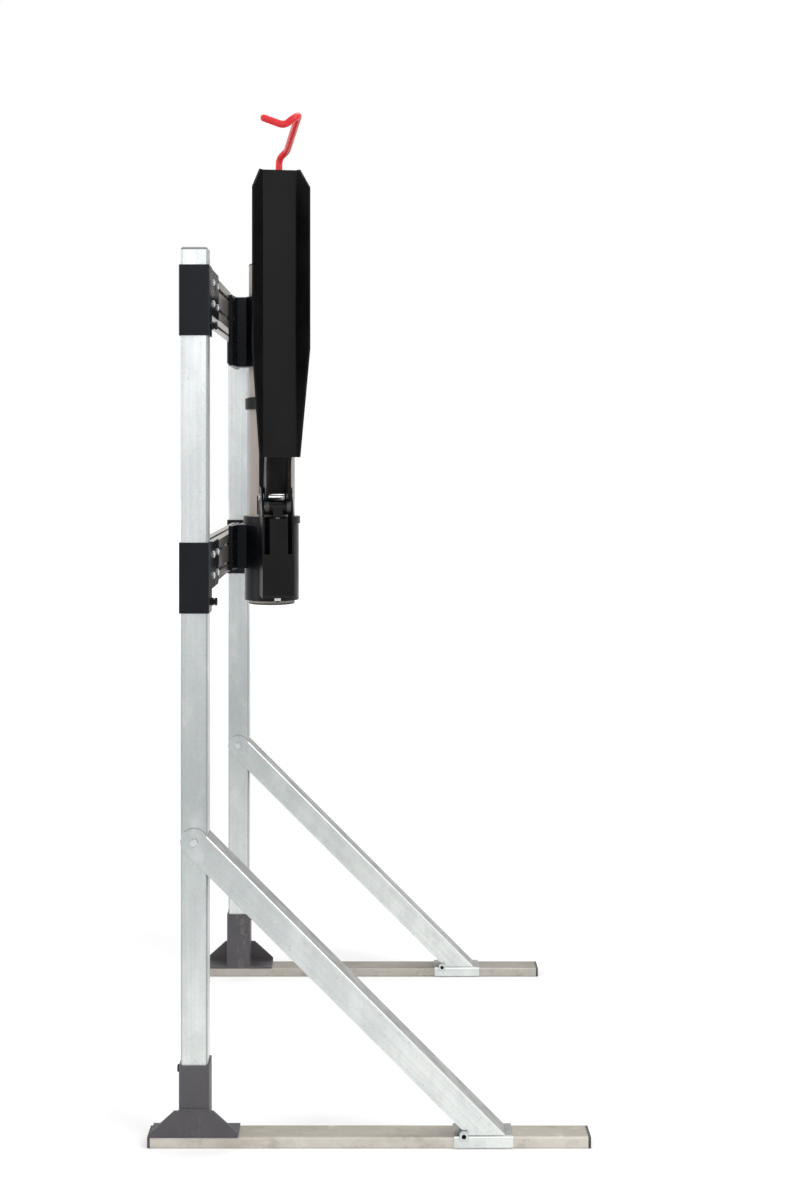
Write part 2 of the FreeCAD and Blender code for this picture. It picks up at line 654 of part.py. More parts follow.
# The saddle's square nut and its lock screw, across the front flange's fold.
lock_high = saddle_top + s.lock_rise
lock_x = s.saddle_back + s.lock_in
square_nut = new_body("square_nut", (0, 0, 0))
pad(square_nut, draw(square_nut, "XY_Plane", [square(s.lock_square)], [(0, 0, screw_hole)]), NUT_TALL)
lock_screw = new_body("lock_screw", (0, 0, 0))
pad(lock_screw, draw(lock_screw, "XY_Plane", circles=[(0, 0, s.screw_size / 2)]), NUT_TALL - 1.5)
pocket(lock_screw, draw(lock_screw, "XY_Plane", circles=[(0, 0, 2)], lift=NUT_TALL - 1.5), 3, middle=False)
saddle_side = s.rail_width / 2 + s.slip + s.saddle_wall
lock_spots = [(lock_x, post_y - saddle_side, lock_high) for side, post_y, inward in SIDES]
group("saddle_nuts", [link(square_nut, spot, AGAINST_Y) for spot in lock_spots])
group("saddle_screws", [link(lock_screw, spot, AGAINST_Y) for spot in lock_spots])

# Swivel brackets: one profile in plan, run up the height of each bracket. The lower one's tube hangs
# below its plate.
mast_radius = s.mast_round / 2
bush_in = mast_radius + s.run_fit
bush_out = mast_radius + s.bush_wall
ring_out = bush_out + s.ring_wall
rim_out = ring_out - 2
for level, foot, tube_foot, top, beam_middle in (
        ("upper", s.high_ring_foot, s.high_ring_foot, s.high_ring_top, s.beam_high),
        ("lower", s.low_ring_foot, s.low_tube_foot, s.low_ring_top, s.beam_low)):
    bracket = new_body("swivel_bracket_" + level, (0, 0, foot))
    wide = s.bracket_wide / 2
    neck = s.bracket_neck / 2
    pad(bracket, draw(bracket, "XY_Plane", [[
        (flange_back, -wide), (bracket_front, -wide), (bracket_front + 6, -neck), (s.swivel_x, -neck),
        (s.swivel_x, neck), (bracket_front + 6, neck), (bracket_front, wide), (flange_back, wide),
    ]]), top - foot)
    pad(bracket, draw(bracket, "XY_Plane", circles=[(s.swivel_x, 0, ring_out)], lift=tube_foot - foot),
        top - tube_foot)
    pocket(bracket, draw(bracket, "XY_Plane", circles=[(s.swivel_x, 0, bush_out)]))
    rows = [beam_middle - foot - s.groove_pitch / 2, beam_middle - foot + s.groove_pitch / 2]
    holes = [(y, z, screw_hole) for y in (-s.bracket_pitch / 2, s.bracket_pitch / 2) for z in rows]
    drilled = draw(bracket, "YZ_Plane", circles=holes, lift=flange_back - 1)
    pocket(bracket, drilled, 9.5, middle=False, back=True)
    seats = [(y, z, ROUND_HEAD_RADIUS + 0.5) for y, z, radius in holes]
    pocket(bracket, draw(bracket, "YZ_Plane", circles=seats, lift=bracket_front), 20, middle=False, back=True)
    node(bracket, "swivel_bracket_" + level)

    bush = new_body("swivel_bush_" + level, (s.swivel_x, 0, tube_foot))
    rise = top - tube_foot
    spin(bush, [(bush_in, 0), (bush_out, 0), (bush_out, rise), (rim_out, rise),
                (rim_out, rise + s.bush_rim), (bush_in, rise + s.bush_rim)])
    node(bush, "swivel_bush_" + level)

# The mast and what turns with it. Drawn facing along X, then turned with the mast.
mast = new_body("mast")
bore = mast_radius - s.mast_wall
mast_foot = s.low_tube_foot - s.mast_show
tube = [(0, 0, mast_radius), (0, 0, bore)]
pad(mast, draw(mast, "XY_Plane", circles=tube, lift=mast_foot), s.mast_top - mast_foot)
node(mast, "mast")

mast_cap = new_body("mast_cap", (0, 0, 0))
spin(mast_cap, [(0, -15), (bore - s.slip, -15), (bore - s.slip, 0), (mast_radius, 0),
                (mast_radius, s.mast_cap - 1.5), (mast_radius - 1.5, s.mast_cap), (0, s.mast_cap)])
UPSIDE_DOWN = Rotation(Vector(1, 0, 0), 180)
group("mast_caps", [link(mast_cap, (s.swivel_x, 0, s.mast_top)),
                    link(mast_cap, (s.swivel_x, 0, mast_foot), UPSIDE_DOWN)])

collar = new_body("thrust_collar")
collar_foot = s.low_ring_top + s.bush_rim + s.rest_gap
collar_out = mast_radius + s.collar_wall
collar_ring = [(0, 0, collar_out), (0, 0, mast_radius)]
pad(collar, draw(collar, "XY_Plane", circles=collar_ring, lift=collar_foot), s.collar_tall)
node(collar, "thrust_collar")

# The hinge housing: two cheeks, a front wall slotted for the cam plates, and a block that is welded to the
# mast above the collar. Below it the housing hangs clear in front of the lower bracket's tube.
housing = new_body("hinge_housing")
weld = mast_radius - s.weld_in
ring_clear = ring_out + s.ring_gap
back_face = ring_clear + s.cheek_wall
front_face = s.housing_out - s.cheek_wall
collar_top = collar_foot + s.collar_tall + s.collar_gap
housing_foot = s.low_tube_foot + s.housing_rise
cheek_top = s.hinge_high + s.cheek_rise
inner_wide = s.housing_wide - 2 * s.cheek_wall
PAST = 30
pad(housing, draw(housing, "XZ_Plane", [[
    (ring_clear, housing_foot), (s.housing_out - s.housing_nip, housing_foot),
    (s.housing_out, housing_foot + s.housing_nip), (s.housing_out, s.housing_lip),
    (s.hinge_out + s.cheek_rise, cheek_top), (back_face + s.cheek_wall, cheek_top + s.cheek_wall),
    (back_face, s.tower_top), (ring_clear, s.tower_top), (ring_clear, cheek_top), (weld, s.hinge_high),
    (weld, collar_top), (ring_clear, collar_top),
]]), s.housing_wide, middle=True)
pocket(housing, draw(housing, "XZ_Plane", [[
    (0, housing_foot - PAST), (front_face, housing_foot - PAST), (front_face, s.tower_top + PAST),
    (back_face, s.tower_top + PAST), (back_face, collar_top), (0, collar_top),
]]), inner_wide)
pocket(housing, draw(housing, "XY_Plane", circles=[(0, 0, mast_radius + s.screw_gap)]))
axle_radius = s.axle_round / 2
pocket(housing, draw(housing, "XZ_Plane", circles=[(s.hinge_out, s.hinge_high, axle_radius + s.run_fit)]))
slot_in = s.cam_apart / 2 - s.cam_wall / 2 - s.slot_gap
slot_foot = s.hinge_high - s.slot_drop
pocket(housing, draw(housing, "YZ_Plane", [
    rectangle(-inner_wide / 2, slot_foot, -slot_in, s.tower_top),
    rectangle(slot_in, slot_foot, inner_wide / 2, s.tower_top),
], lift=front_face - s.slip), PAST, middle=False, back=True)
tie_spot = (s.hinge_out - s.tie_back, s.hinge_high - s.tie_drop, s.tie_round / 2)
pocket(housing, draw(housing, "XZ_Plane", circles=[tie_spot]))
node(housing, "hinge_housing")

tie_bar = new_body("tie_bar")
pad(tie_bar, draw(tie_bar, "XZ_Plane", circles=[tie_spot]), s.housing_wide + 2, middle=True)
node(tie_bar, "tie_bar")

axle = new_body("hinge_axle")
axle_spot = (s.hinge_out, s.hinge_high, axle_radius)
pad(axle, draw(axle, "XZ_Plane", circles=[axle_spot]), s.housing_wide, middle=True)
for back in (False, True):
    side_lift = s.housing_wide / 2 if not back else -s.housing_wide / 2
    head = draw(axle, "XZ_Plane", circles=[(s.hinge_out, s.hinge_high, axle_radius + 3)], lift=side_lift)
    pad(axle, head, 3, back=back)
node(axle, "hinge_axle")

# The gas spring stands on a floor plate between the housing's cheeks.
gas_x = s.hinge_out + s.cam_base
gas_radius = s.gas_round / 2
floor_plate = new_body("spring_foot")
pad(floor_plate, draw(floor_plate, "XY_Plane", [
    rectangle(ring_clear, -inner_wide / 2, s.housing_out - s.housing_nip, inner_wide / 2)
], [(gas_x, 0, screw_hole)], lift=housing_foot), s.spring_foot)
node(floor_plate, "spring_foot")

gas_foot = housing_foot + s.spring_foot
STEP = 4
STUD = 10
cylinder_body = new_body("gas_cylinder")
pad(cylinder_body, draw(cylinder_body, "XY_Plane", circles=[(gas_x, 0, gas_radius)], lift=gas_foot + STEP),
    s.gas_top - gas_foot - 2 * STEP)
for lift, tall, radius in ((gas_foot, STEP, gas_radius - STEP), (s.gas_top - STEP, STEP, gas_radius - STEP),
                           (housing_foot - STUD, s.spring_foot + STUD, s.screw_size / 2)):
    pad(cylinder_body, draw(cylinder_body, "XY_Plane", circles=[(gas_x, 0, radius)], lift=lift), tall)
bore_foot = gas_foot + s.gas_base
rod_bore = s.rod_round / 2 + s.run_fit
rod_hole = draw(cylinder_body, "XY_Plane", circles=[(gas_x, 0, rod_bore)], lift=bore_foot)
pocket(cylinder_body, rod_hole, FAR, middle=False, back=True)
node(cylinder_body, "gas_cylinder")

spring_nut = new_body("spring_nut")
nut_corners = [math.radians(60 * step) for step in range(6)]
pad(spring_nut, draw(spring_nut, "XY_Plane", [[
    (gas_x + HEX_CORNER * math.cos(turn), HEX_CORNER * math.sin(turn)) for turn in nut_corners
]], [(gas_x, 0, screw_hole)], lift=housing_foot), NUT_TALL, back=True)
node(spring_nut, "spring_nut")

# The stop holds the trough upright.
stop_arm = new_body("stop_arm")
STOP_TALL = 24
stop_face = s.trough_out - s.rest_gap - s.stop_thick
stop_low = s.stop_high - STOP_TALL / 2
pad(stop_arm, draw(stop_arm, "XY_Plane", [rectangle(0, -12, stop_face, 12)], lift=stop_low), STOP_TALL)
pad(stop_arm, draw(stop_arm, "XY_Plane", circles=[(0, 0, mast_radius + 8)], lift=stop_low), STOP_TALL)
pocket(stop_arm, draw(stop_arm, "XY_Plane", circles=[(0, 0, mast_radius)]))
node(stop_arm, "stop_arm")
stop_pad = new_body("stop_pad")
stop_spot = (0, s.stop_high, s.stop_round / 2)
pad(stop_pad, draw(stop_pad, "YZ_Plane", circles=[stop_spot], lift=stop_face), s.stop_thick)
node(stop_pad, "stop_pad")

# The trough: a flared channel whose sides run out towards the bottom.
trough = new_body("wheel_trough")
flat_half = s.trough_flat / 2
mouth_half = s.trough_wide / 2
front = s.trough_out + s.trough_deep
floor_in = s.trough_out + s.trough_wall
slope = (mouth_half - flat_half) / s.trough_deep
stretch = math.hypot(1, slope.value)
fold_in = flat_half - s.trough_wall * (stretch - slope)
lip_front = front + s.trough_wall * slope / stretch
lip_inner = mouth_half - s.trough_wall / stretch
pad(trough, draw(trough, "XY_Plane", [[
    (s.trough_out, -flat_half), (s.trough_out, flat_half), (front, mouth_half), (lip_front, lip_inner),
    (floor_in, fold_in), (floor_in, -fold_in), (lip_front, -lip_inner), (front, -mouth_half),
]], lift=s.trough_foot), s.trough_top - s.trough_foot)
round_edges(trough, s.tube_corner + s.trough_wall,
            runs_along(2, *[(s.trough_out.value, y) for y in (-flat_half.value, flat_half.value)]))
round_edges(trough, s.tube_corner,
            runs_along(2, *[(floor_in.value, y) for y in (-fold_in.value, fold_in.value)]))
root = s.trough_out + s.trough_root
clear = front + s.trough_wall
pocket(trough, draw(trough, "XZ_Plane", [
    [(root, s.trough_foot - PAST), (clear + PAST, s.trough_foot - PAST), (clear + PAST, s.taper_top),
     (clear, s.taper_top), (root, s.trough_foot)],
    [(root, s.trough_top + PAST), (clear + PAST, s.trough_top + PAST),
     (clear + PAST, s.trough_top - s.trough_nip), (clear, s.trough_top - s.trough_nip), (root, s.trough_top)],
]))
node(trough, "wheel_trough")

hinge_tube = new_body("hinge_tube")
tube_radius = s.tube_round / 2
pad(hinge_tube, draw(hinge_tube, "XZ_Plane", circles=[
    (s.hinge_out, s.hinge_high, tube_radius), (s.hinge_out, s.hinge_high, axle_radius + s.run_fit),
]), inner_wide - 2 * s.rest_gap, middle=True)
node(hinge_tube, "hinge_tube")

# The lift cam, two equal plates. Their face is an involute, so the rollers push up with the same lever arm
# all the way and the rod's stroke is the lever arm times the swing.
base = s.cam_base.value
swing = math.radians(s.lift_swing.value)
contact_start = (s.roller_drop.value - s.roller_round.value / 2) / base
roller_seat = s.rest_gap.value / base


def cam_face(turn):
    """Point of the cam's face that meets its roller after the trough has swung by a turn."""
    roll = contact_start - roller_seat + turn
    out = math.cos(turn) + roll * math.sin(turn)
    up = math.sin(turn) - roll * math.cos(turn)
    return Vector(base * out, 0, base * up)


def cam_shape():
    """The two cam plates in the lift's own axes."""
    steps = 24
    hinge = Vector(s.hinge_out.value, -s.cam_wall.value / 2, s.hinge_high.value)
    face = [hinge + cam_face(-0.1 + (swing + 0.16) * step / steps) for step in range(steps + 1)]
    curve = Part.BSplineCurve()
    curve.interpolate(face)
    boss = s.cam_boss.value
    back = (s.trough_out - s.hinge_out).value
    rise = (s.trough_foot - s.hinge_high).value

    def on_boss(angle):
        return hinge + Vector(boss * math.cos(math.radians(angle)), 0, boss * math.sin(math.radians(angle)))

    lap = s.cam_lap.value
    spots = ((back - boss, rise - boss), (back, rise), (back, rise + lap), (back - 2 * boss, rise + lap))
    corners = [face[-1]] + [hinge + Vector(out, 0, up) for out, up in spots] + [on_boss(135)]
    edges = [curve.toShape()]
    edges += [Part.LineSegment(a, b).toShape() for a, b in zip(corners, corners[1:])]
    edges.append(Part.Arc(on_boss(135), on_boss(215), on_boss(290)).toShape())
    edges.append(Part.LineSegment(on_boss(290), face[0]).toShape())
    plate = Part.Face(Part.Wire(edges)).extrude(Vector(0, s.cam_wall.value, 0))
    plate = plate.cut(Part.makeCylinder(tube_radius.value, s.cam_wall.value, hinge, Vector(0, 1, 0)))
    reach = s.cam_apart.value / 2
    return Part.makeCompound([plate.translated(Vector(0, side * reach, 0)) for side in (-1, 1)])


cam = doc.addObject("Part::Feature", "lift_cam")
cam.Shape = cam_shape()
place_on_mast(cam)
node(cam, "lift_cam")


def rounded_path(corners, radius):
    """A wire through the corners with each bend rounded to one radius."""
    edges = []
    start = corners[0]
    for before, corner, after in zip(corners, corners[1:], corners[2:]):
        toward = (before - corner).normalize()
        away = (after - corner).normalize()
        half_angle = toward.getAngle(away) / 2
        reach = radius / math.tan(half_angle)
        middle = (toward + away).normalize()
        bulge = corner + middle * (radius / math.sin(half_angle) - radius)
        edges.append(Part.LineSegment(start, corner + toward * reach).toShape())
        edges.append(Part.Arc(corner + toward * reach, bulge, corner + away * reach).toShape())
        start = corner + away * reach
    edges.append(Part.LineSegment(start, corners[-1]).toShape())
    return Part.Wire(edges)


def hook_shape():
    """The hook: up the trough's back, forward on its right side, then across to a free tip on the left."""
    radius = s.hook_round.value / 2
    back = s.trough_out.value - radius
    top = s.trough_top.value
    side, out = s.hook_side.value, s.hook_out.value
    dip, high = s.hook_dip.value, s.hook_dip.value + s.hook_rise.value
    low, bend = top - s.hook_root.value, s.hook_bend.value
    tip_end = Vector(out, -s.hook_tip.value, dip + s.tip_rise.value)
    path = rounded_path([
        Vector(back, 0, low), Vector(back, 0, top + bend * 4 / 3),
        Vector(back + bend * 5 / 3, side, top + bend * 2),
        Vector(out, side, high), Vector(out, -s.hook_shift.value, dip - radius), tip_end,
    ], bend)
    ring = Part.Wire([Part.makeCircle(radius, Vector(back, 0, low), Vector(0, 0, 1))])
    rod = path.makePipeShell([ring], True, False)
    tip = Part.makeSphere(radius, tip_end)
    return rod.fuse(tip).removeSplitter()


hook = doc.addObject("Part::Feature", "wheel_hook")
hook.Shape = hook_shape()
place_on_mast(hook)
node(hook, "wheel_hook")

# The gas spring's rod, its cross head and a roller under each cam plate.
roller_high = s.hinge_high - s.roller_drop
clevis_foot = roller_high - s.clevis_drop
rod = new_body("gas_rod")
stroke = s.cam_base * s.lift_swing * (math.pi / 180)
rod_foot = bore_foot + s.rest_gap + stroke
pad(rod, draw(rod, "XY_Plane", circles=[(gas_x, 0, s.rod_round / 2)], lift=rod_foot), clevis_foot - rod_foot)
node(rod, "gas_rod")

clevis = new_body("rod_clevis")
clevis_half = s.clevis_round / 2
clevis_wide = s.cam_apart - s.roller_wide - 2 * s.rest_gap
pad(clevis, draw(clevis, "XZ_Plane", [
    rectangle(gas_x - clevis_half, clevis_foot, gas_x + clevis_half, roller_high)
]), s.clevis_round, middle=True)
pad(clevis, draw(clevis, "XZ_Plane", circles=[(gas_x, roller_high, clevis_half)]), clevis_wide, middle=True)
pin_radius = s.pin_round / 2
pocket(clevis, draw(clevis, "XZ_Plane", circles=[(gas_x, roller_high, pin_radius)]))
node(clevis, "rod_clevis")

pin = new_body("roller_pin")
pin_long = s.cam_apart + s.roller_wide + 1
pad(pin, draw(pin, "XZ_Plane", circles=[(gas_x, roller_high, pin_radius)]), pin_long, middle=True)
node(pin, "roller_pin")

rollers = []
for side in (-1, 1):
    roller = new_body("roller")
    pad(roller, draw(roller, "XZ_Plane", circles=[
        (gas_x, roller_high, s.roller_round / 2), (gas_x, roller_high, pin_radius + s.run_fit),
    ], lift=side * s.cam_apart / 2), s.roller_wide, middle=True)
    rollers.append(roller)
group("cam_roller", rollers)

doc.recompute()

faults = [obj.Label for obj in doc.Objects if {"Invalid", "Error"} & set(obj.State)]
for obj in nodes:
    if obj.Shape.isNull() or not obj.Shape.isValid():
        faults.append(obj.Label + " shape")
if faults:
    raise RuntimeError("not built: " + ", ".join(faults))
for obj in nodes:
    obj.Shape.exportStep(f"parts/{obj.Label}.step")
    box = obj.Shape.BoundBox
    print(f"{obj.Label:22s} solids {len(obj.Shape.Solids):2d}  volume {obj.Shape.Volume / 1000:9.2f} cm3  "
          f"X {box.XMin:7.1f} {box.XMax:7.1f}  Y {box.YMin:7.1f} {box.YMax:7.1f}  "
          f"Z {box.ZMin:7.1f} {box.ZMax:7.1f}")
print(len(nodes), "nodes, rod stroke", round(stroke.value, 2), "mm")
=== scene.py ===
# %% [markdown]
# # A wall lift on a steel stand, dressed in Blender
#
# The real object is a stand of two square posts on long feet, with two cross beams between the posts. A mast
# in the middle turns in two brackets and carries a hinged trough with a red hook. A gas spring in a black
# housing helps the trough up. The solids come from CAD, in metres, with every part already in its place.
# This lesson gives them their finishes, adds the small details that a workshop leaves, and lights the whole.
#
# Nothing that we add may make the object larger than the drawing says it is.

# %% Load the solids
import json
import math

import bpy
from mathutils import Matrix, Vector


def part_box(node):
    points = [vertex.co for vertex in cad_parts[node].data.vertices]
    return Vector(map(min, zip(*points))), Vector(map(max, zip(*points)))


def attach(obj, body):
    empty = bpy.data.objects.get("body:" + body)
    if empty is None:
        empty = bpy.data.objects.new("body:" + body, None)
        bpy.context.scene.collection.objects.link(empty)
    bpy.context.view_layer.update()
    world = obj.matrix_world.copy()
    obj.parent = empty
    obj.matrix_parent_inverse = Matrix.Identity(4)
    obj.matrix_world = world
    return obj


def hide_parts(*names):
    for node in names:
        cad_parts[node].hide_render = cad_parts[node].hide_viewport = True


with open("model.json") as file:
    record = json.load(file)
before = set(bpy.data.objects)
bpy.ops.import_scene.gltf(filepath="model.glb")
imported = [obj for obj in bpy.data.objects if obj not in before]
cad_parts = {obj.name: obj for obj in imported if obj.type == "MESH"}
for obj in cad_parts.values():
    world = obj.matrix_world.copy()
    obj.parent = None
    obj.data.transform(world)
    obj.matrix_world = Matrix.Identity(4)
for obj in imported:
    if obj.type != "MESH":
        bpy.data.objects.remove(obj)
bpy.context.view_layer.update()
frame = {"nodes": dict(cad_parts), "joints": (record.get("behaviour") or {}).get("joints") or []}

MM = 0.001
nodes = frame["nodes"]

# %% [markdown]
# ## The camera
#
# The photograph was taken with the camera level, at about three quarters of the posts' height, looking
# straight along the cross beams. A level camera keeps upright posts upright in the picture. To get the
# feet into the picture without tilting, a view camera shifts its lens, and so can Blender's: shift_x and
# shift_y slide the picture sideways and down, as fractions of its height.

# %% Set up the camera
PICTURE_HEIGHT = 1200
SHIFT_RIGHT = 25
SHIFT_DOWN = 150
camera_data = bpy.data.cameras.new("level_camera")
camera_data.sensor_fit = "VERTICAL"
camera_data.sensor_height = 36.0
camera_data.lens = 49.4
camera_data.shift_x = SHIFT_RIGHT / PICTURE_HEIGHT
camera_data.shift_y = -SHIFT_DOWN / PICTURE_HEIGHT
camera = bpy.data.objects.new("level_camera", camera_data)
camera.location = (0.011, -3.591, 1.300)
camera.rotation_euler = (math.radians(90), 0, 0)
bpy.context.scene.collection.objects.link(camera)
bpy.context.scene.camera = camera
print("camera at", tuple(round(v, 3) for v in camera.location), "lens", camera_data.lens)

# %% [markdown]
# ## A bench for node trees
#
# Materials and Geometry Nodes are both trees of nodes, and both ask for the same few moves: add a node with
# its settings, and fill an input, either with a link from another node or with a plain value. One small
# class holds these moves, so that the recipes further down stay short.

# %% The Bench helper


class Bench:
    """A node tree, with short ways to add nodes and to fill their inputs."""

    def __init__(self, tree):
        self.tree = tree

    def add(self, kind, **settings):
        made = self.tree.nodes.new(kind)
        for key, value in settings.items():
            setattr(made, key, value)
        return made

    def fill(self, target, value):
        """Link the input if the value is another node's socket, or else write the value on it."""
        if isinstance(value, bpy.types.NodeSocket):
            self.tree.links.new(value, target)
        elif target.type == "RGBA":
            target.default_value = (*value, 1.0)
        else:
            target.default_value = value

    def feed(self, node, **values):
        """Fill inputs by name and return the node; an underscore stands for a space."""
        for label, value in values.items():
            self.fill(node.inputs[label.replace("_", " ")], value)
        return node

    def arithmetic(self, operation, first, second=0.0, clamp=False):
        """One step of arithmetic on sockets or numbers."""
        node = self.add("ShaderNodeMath", operation=operation, use_clamp=clamp)
        self.fill(node.inputs[0], first)
        self.fill(node.inputs[1], second)
        return node.outputs[0]


print("bench ready")

# %% [markdown]
# ## Finishes and their patterns
#
# Every finish below is a node tree around one Principled shader. Patterns read Object coordinates. All our
# objects sit at the origin, so those coordinates are metres from the floor's middle, and a grain of one
# millimetre is a grain of one millimetre on every part. A pattern becomes a mask, and a mask says where the
# next colour is painted over the last one, as a painter lays one thin coat over another.

# %% The Finish helper


class Finish(Bench):
    """One material: a Principled shader, and short ways to hang a pattern on it."""

    def __init__(self, name, metallic=0.0, roughness=0.5, specular=0.5):
        self.material = bpy.data.materials.new(name)
        self.material.use_nodes = True
        super().__init__(self.material.node_tree)
        self.shader = self.tree.nodes["Principled BSDF"]
        self.feed(self.shader, Metallic=metallic, Roughness=roughness, Specular_IOR_Level=specular)

    def place(self, scale=(1, 1, 1), turn=(0, 0, 0), shift=(0, 0, 0)):
        """Object coordinates, turned and stretched: a small scale draws the pattern out along that axis."""
        where = self.add("ShaderNodeTexCoord").outputs["Object"]
        turned = self.feed(self.add("ShaderNodeMapping"), Vector=where, Location=shift, Rotation=turn)
        stretched = self.feed(self.add("ShaderNodeMapping"), Vector=turned.outputs["Vector"], Scale=scale)
        return stretched.outputs["Vector"]

    def noise(self, vector, scale, detail=3.0, rough=0.55):
        made = self.add("ShaderNodeTexNoise")
        return self.feed(made, Vector=vector, Scale=scale, Detail=detail, Roughness=rough).outputs["Fac"]

    def cells(self, vector, scale):
        made = self.add("ShaderNodeTexVoronoi")
        return self.feed(made, Vector=vector, Scale=scale).outputs["Color"]

    def shades(self, pattern, *stops):
        """A colour ramp: each stop is a place from 0 to 1, with a grey or a colour."""
        ramp = self.feed(self.add("ShaderNodeValToRGB"), Fac=pattern)
        while len(ramp.color_ramp.elements) < len(stops):
            ramp.color_ramp.elements.new(0.5)
        for element, (where, tint) in zip(ramp.color_ramp.elements, stops):
            rgb = tint if isinstance(tint, tuple) else (tint,) * 3
            element.position = where
            element.color = (*rgb, 1.0)
        return ramp.outputs["Color"]

    def mask(self, pattern, none, full, most=1.0):
        """Black where the pattern reads none, rising to the grey called most where it reads full."""
        return self.shades(pattern, *sorted(((none, 0.0), (full, most))))

    def blend(self, factor, first, second, mode="MIX"):
        """Mix two colours; the factor is a mask or a number."""
        mixer = self.add("ShaderNodeMix", data_type="RGBA", blend_type=mode, clamp_result=True)
        # The Mix node has sockets for each kind of value; these are the ones for colours.
        self.fill(mixer.inputs[0], factor)
        self.fill(mixer.inputs[6], first)
        self.fill(mixer.inputs[7], second)
        return mixer.outputs[2]

    def paint(self, base, tint, pattern, none, full, most=1.0):
        """Lay a tint over the base wherever the pattern's mask lets it."""
        return self.blend(self.mask(pattern, none, full, most), base, tint)


print("finish helper ready")

# %% [markdown]
# ## Where a surface wears, and where light is painted
#
# Handling rubs edges. Faces that look up are painted darker, as painted shade on the zinc, the round of a
# fold gets a painted highlight, and a corner round a painted dark reflection. All of that depends on how a
# surface faces, and the Geometry node knows that: its Normal. The Bevel node gives a second, rounded normal,
# and where the two differ there is an edge. One more helper shades by height: it squeezes the height, in
# metres, onto a colour ramp that runs from 0 to 1.

# %% Masks for wear and painted light
RAMP_HEIGHT = 2.0


def facing(finish):
    """The X, Y and Z parts of the way that a surface faces."""
    normal = finish.add("ShaderNodeNewGeometry").outputs["Normal"]
    return finish.feed(finish.add("ShaderNodeSeparateXYZ"), Vector=normal).outputs


def rounded_normal(finish, radius):
    """The way that a surface would face if its edges were rounded."""
    return finish.feed(finish.add("ShaderNodeBevel", samples=6), Radius=radius).outputs["Normal"]


def edges(finish, radius):
    """White along sharp edges, where a rounded normal leaves the true one."""
    match = finish.add("ShaderNodeVectorMath", operation="DOT_PRODUCT")
    finish.fill(match.inputs[0], rounded_normal(finish, radius))
    finish.fill(match.inputs[1], finish.add("ShaderNodeNewGeometry").outputs["Normal"])
    return finish.mask(match.outputs["Value"], none=0.985, full=0.80)


def upward(finish, none, full, most):
    """Grey on faces that look up, where a recipe paints them darker."""
    return finish.mask(facing(finish)["Z"], none, full, most)


def folds(finish, most):
    """Grey on the round of a fold, between an upright face and one that looks up, for a painted highlight
    there.
    """
    return finish.shades(facing(finish)["Z"], (0.10, 0.0), (0.25, most), (0.50, most), (0.62, 0.0))


def corners(finish, most):
    """Grey on a tube's upright corner rounds, which face neither along X nor along Y, for a painted dark
    reflection there.
    """
    way = facing(finish)
    both = finish.arithmetic("MULTIPLY", way["X"], way["Y"])
    return finish.mask(finish.arithmetic("ABSOLUTE", both), none=0.10, full=0.40, most=most)


def by_height(finish, *stops):
    """A colour that changes with the height: each stop is a height in metres, with a colour."""
    squeezed = finish.place(scale=(1, 1, 1 / RAMP_HEIGHT))
    parts = finish.feed(finish.add("ShaderNodeSeparateXYZ"), Vector=squeezed).outputs
    return finish.shades(parts["Z"], *((metres / RAMP_HEIGHT, tint) for metres, tint in stops))


print("wear masks ready")

# %% [markdown]
# ## Coat and dress
#
# Every recipe ends in the same way, so that goes into a helper too. It hangs the finished colour on the
# shader, lets the roughness wander with a pattern, and adds a fine relief over edges that catch the light
# as if they were rounded. Noise mostly reads between 0.3 and 0.7, so the roughness takes its two values
# there. A second helper gives the finish to CAD solids.

# %% Coat and dress
NOISE_RANGE = (0.3, 0.7)


def coat(finish, tint, rough_pattern, rough_range, bump_pattern, bump, depth, edge_radius):
    """Put a colour, a roughness that goes from one value to another, and a relief on the shader."""
    roughness = finish.shades(rough_pattern, *zip(NOISE_RANGE, rough_range))
    relief = finish.feed(finish.add("ShaderNodeBump"), Strength=bump, Distance=depth, Height=bump_pattern,
                         Normal=rounded_normal(finish, edge_radius))
    finish.feed(finish.shader, Base_Color=tint, Roughness=roughness, Normal=relief.outputs["Normal"])
    return finish


dressed = set()


def dress(finish, *names):
    """Give CAD solids a finish in place of the plain colour that they came with."""
    for name in names:
        nodes[name].data.materials.clear()
        nodes[name].data.materials.append(finish.material)
    dressed.update(names)


print("ready to dress", len(nodes), "solids")

# %% [markdown]
# ## Zinc on steel tube
#
# The posts and braces are cold-rolled steel with a thin coat of bright zinc. Such a coat is a little blue
# and green, shows the faint long lines of the rolling mill, and clouds over in soft patches. In the
# photograph it is pale at the foot and at the top, and duller at hip height, so a slow change with the height
# comes first; the duller band at hip height is a painted reflection. Noise drawn out along the tube gives the
# lines, broad noise the clouds, fine noise the specks, and small cells the zinc's own crystals. Corner rounds
# get a painted dark reflection, faces that look up get a cloudy painted shade, and the outside of a fold gets
# a painted highlight. The lines run along each tube, so one function makes the finish for any direction.

# %% Bright zinc for posts, braces and saddles
# The hip colour is a painted reflection, darker than the zinc at the foot and at the top.
FOOT_ZINC, HIP_PAINTED_REFLECTION, TOP_ZINC = (0.72, 0.745, 0.725), (0.39, 0.42, 0.42), (0.68, 0.71, 0.715)
MILL_LINE = (0.36, 0.39, 0.395)
CLOUD_DARK, CLOUD_PALE = (0.33, 0.36, 0.365), (0.78, 0.80, 0.795)
SPECK = (0.30, 0.32, 0.325)
# The corner grey is a painted dark reflection on the corner rounds.
CORNER_PAINTED_REFLECTION = (0.26, 0.275, 0.275)
# The two upward greys are painted shade on faces that look up, clouded by noise.
UPWARD_SHADE_DARK, UPWARD_SHADE_PALE = (0.120, 0.120, 0.114), (0.245, 0.245, 0.232)
# The fold white is a painted highlight on the round of each fold.
FOLD_PAINTED_HIGHLIGHT = (0.90, 0.91, 0.91)


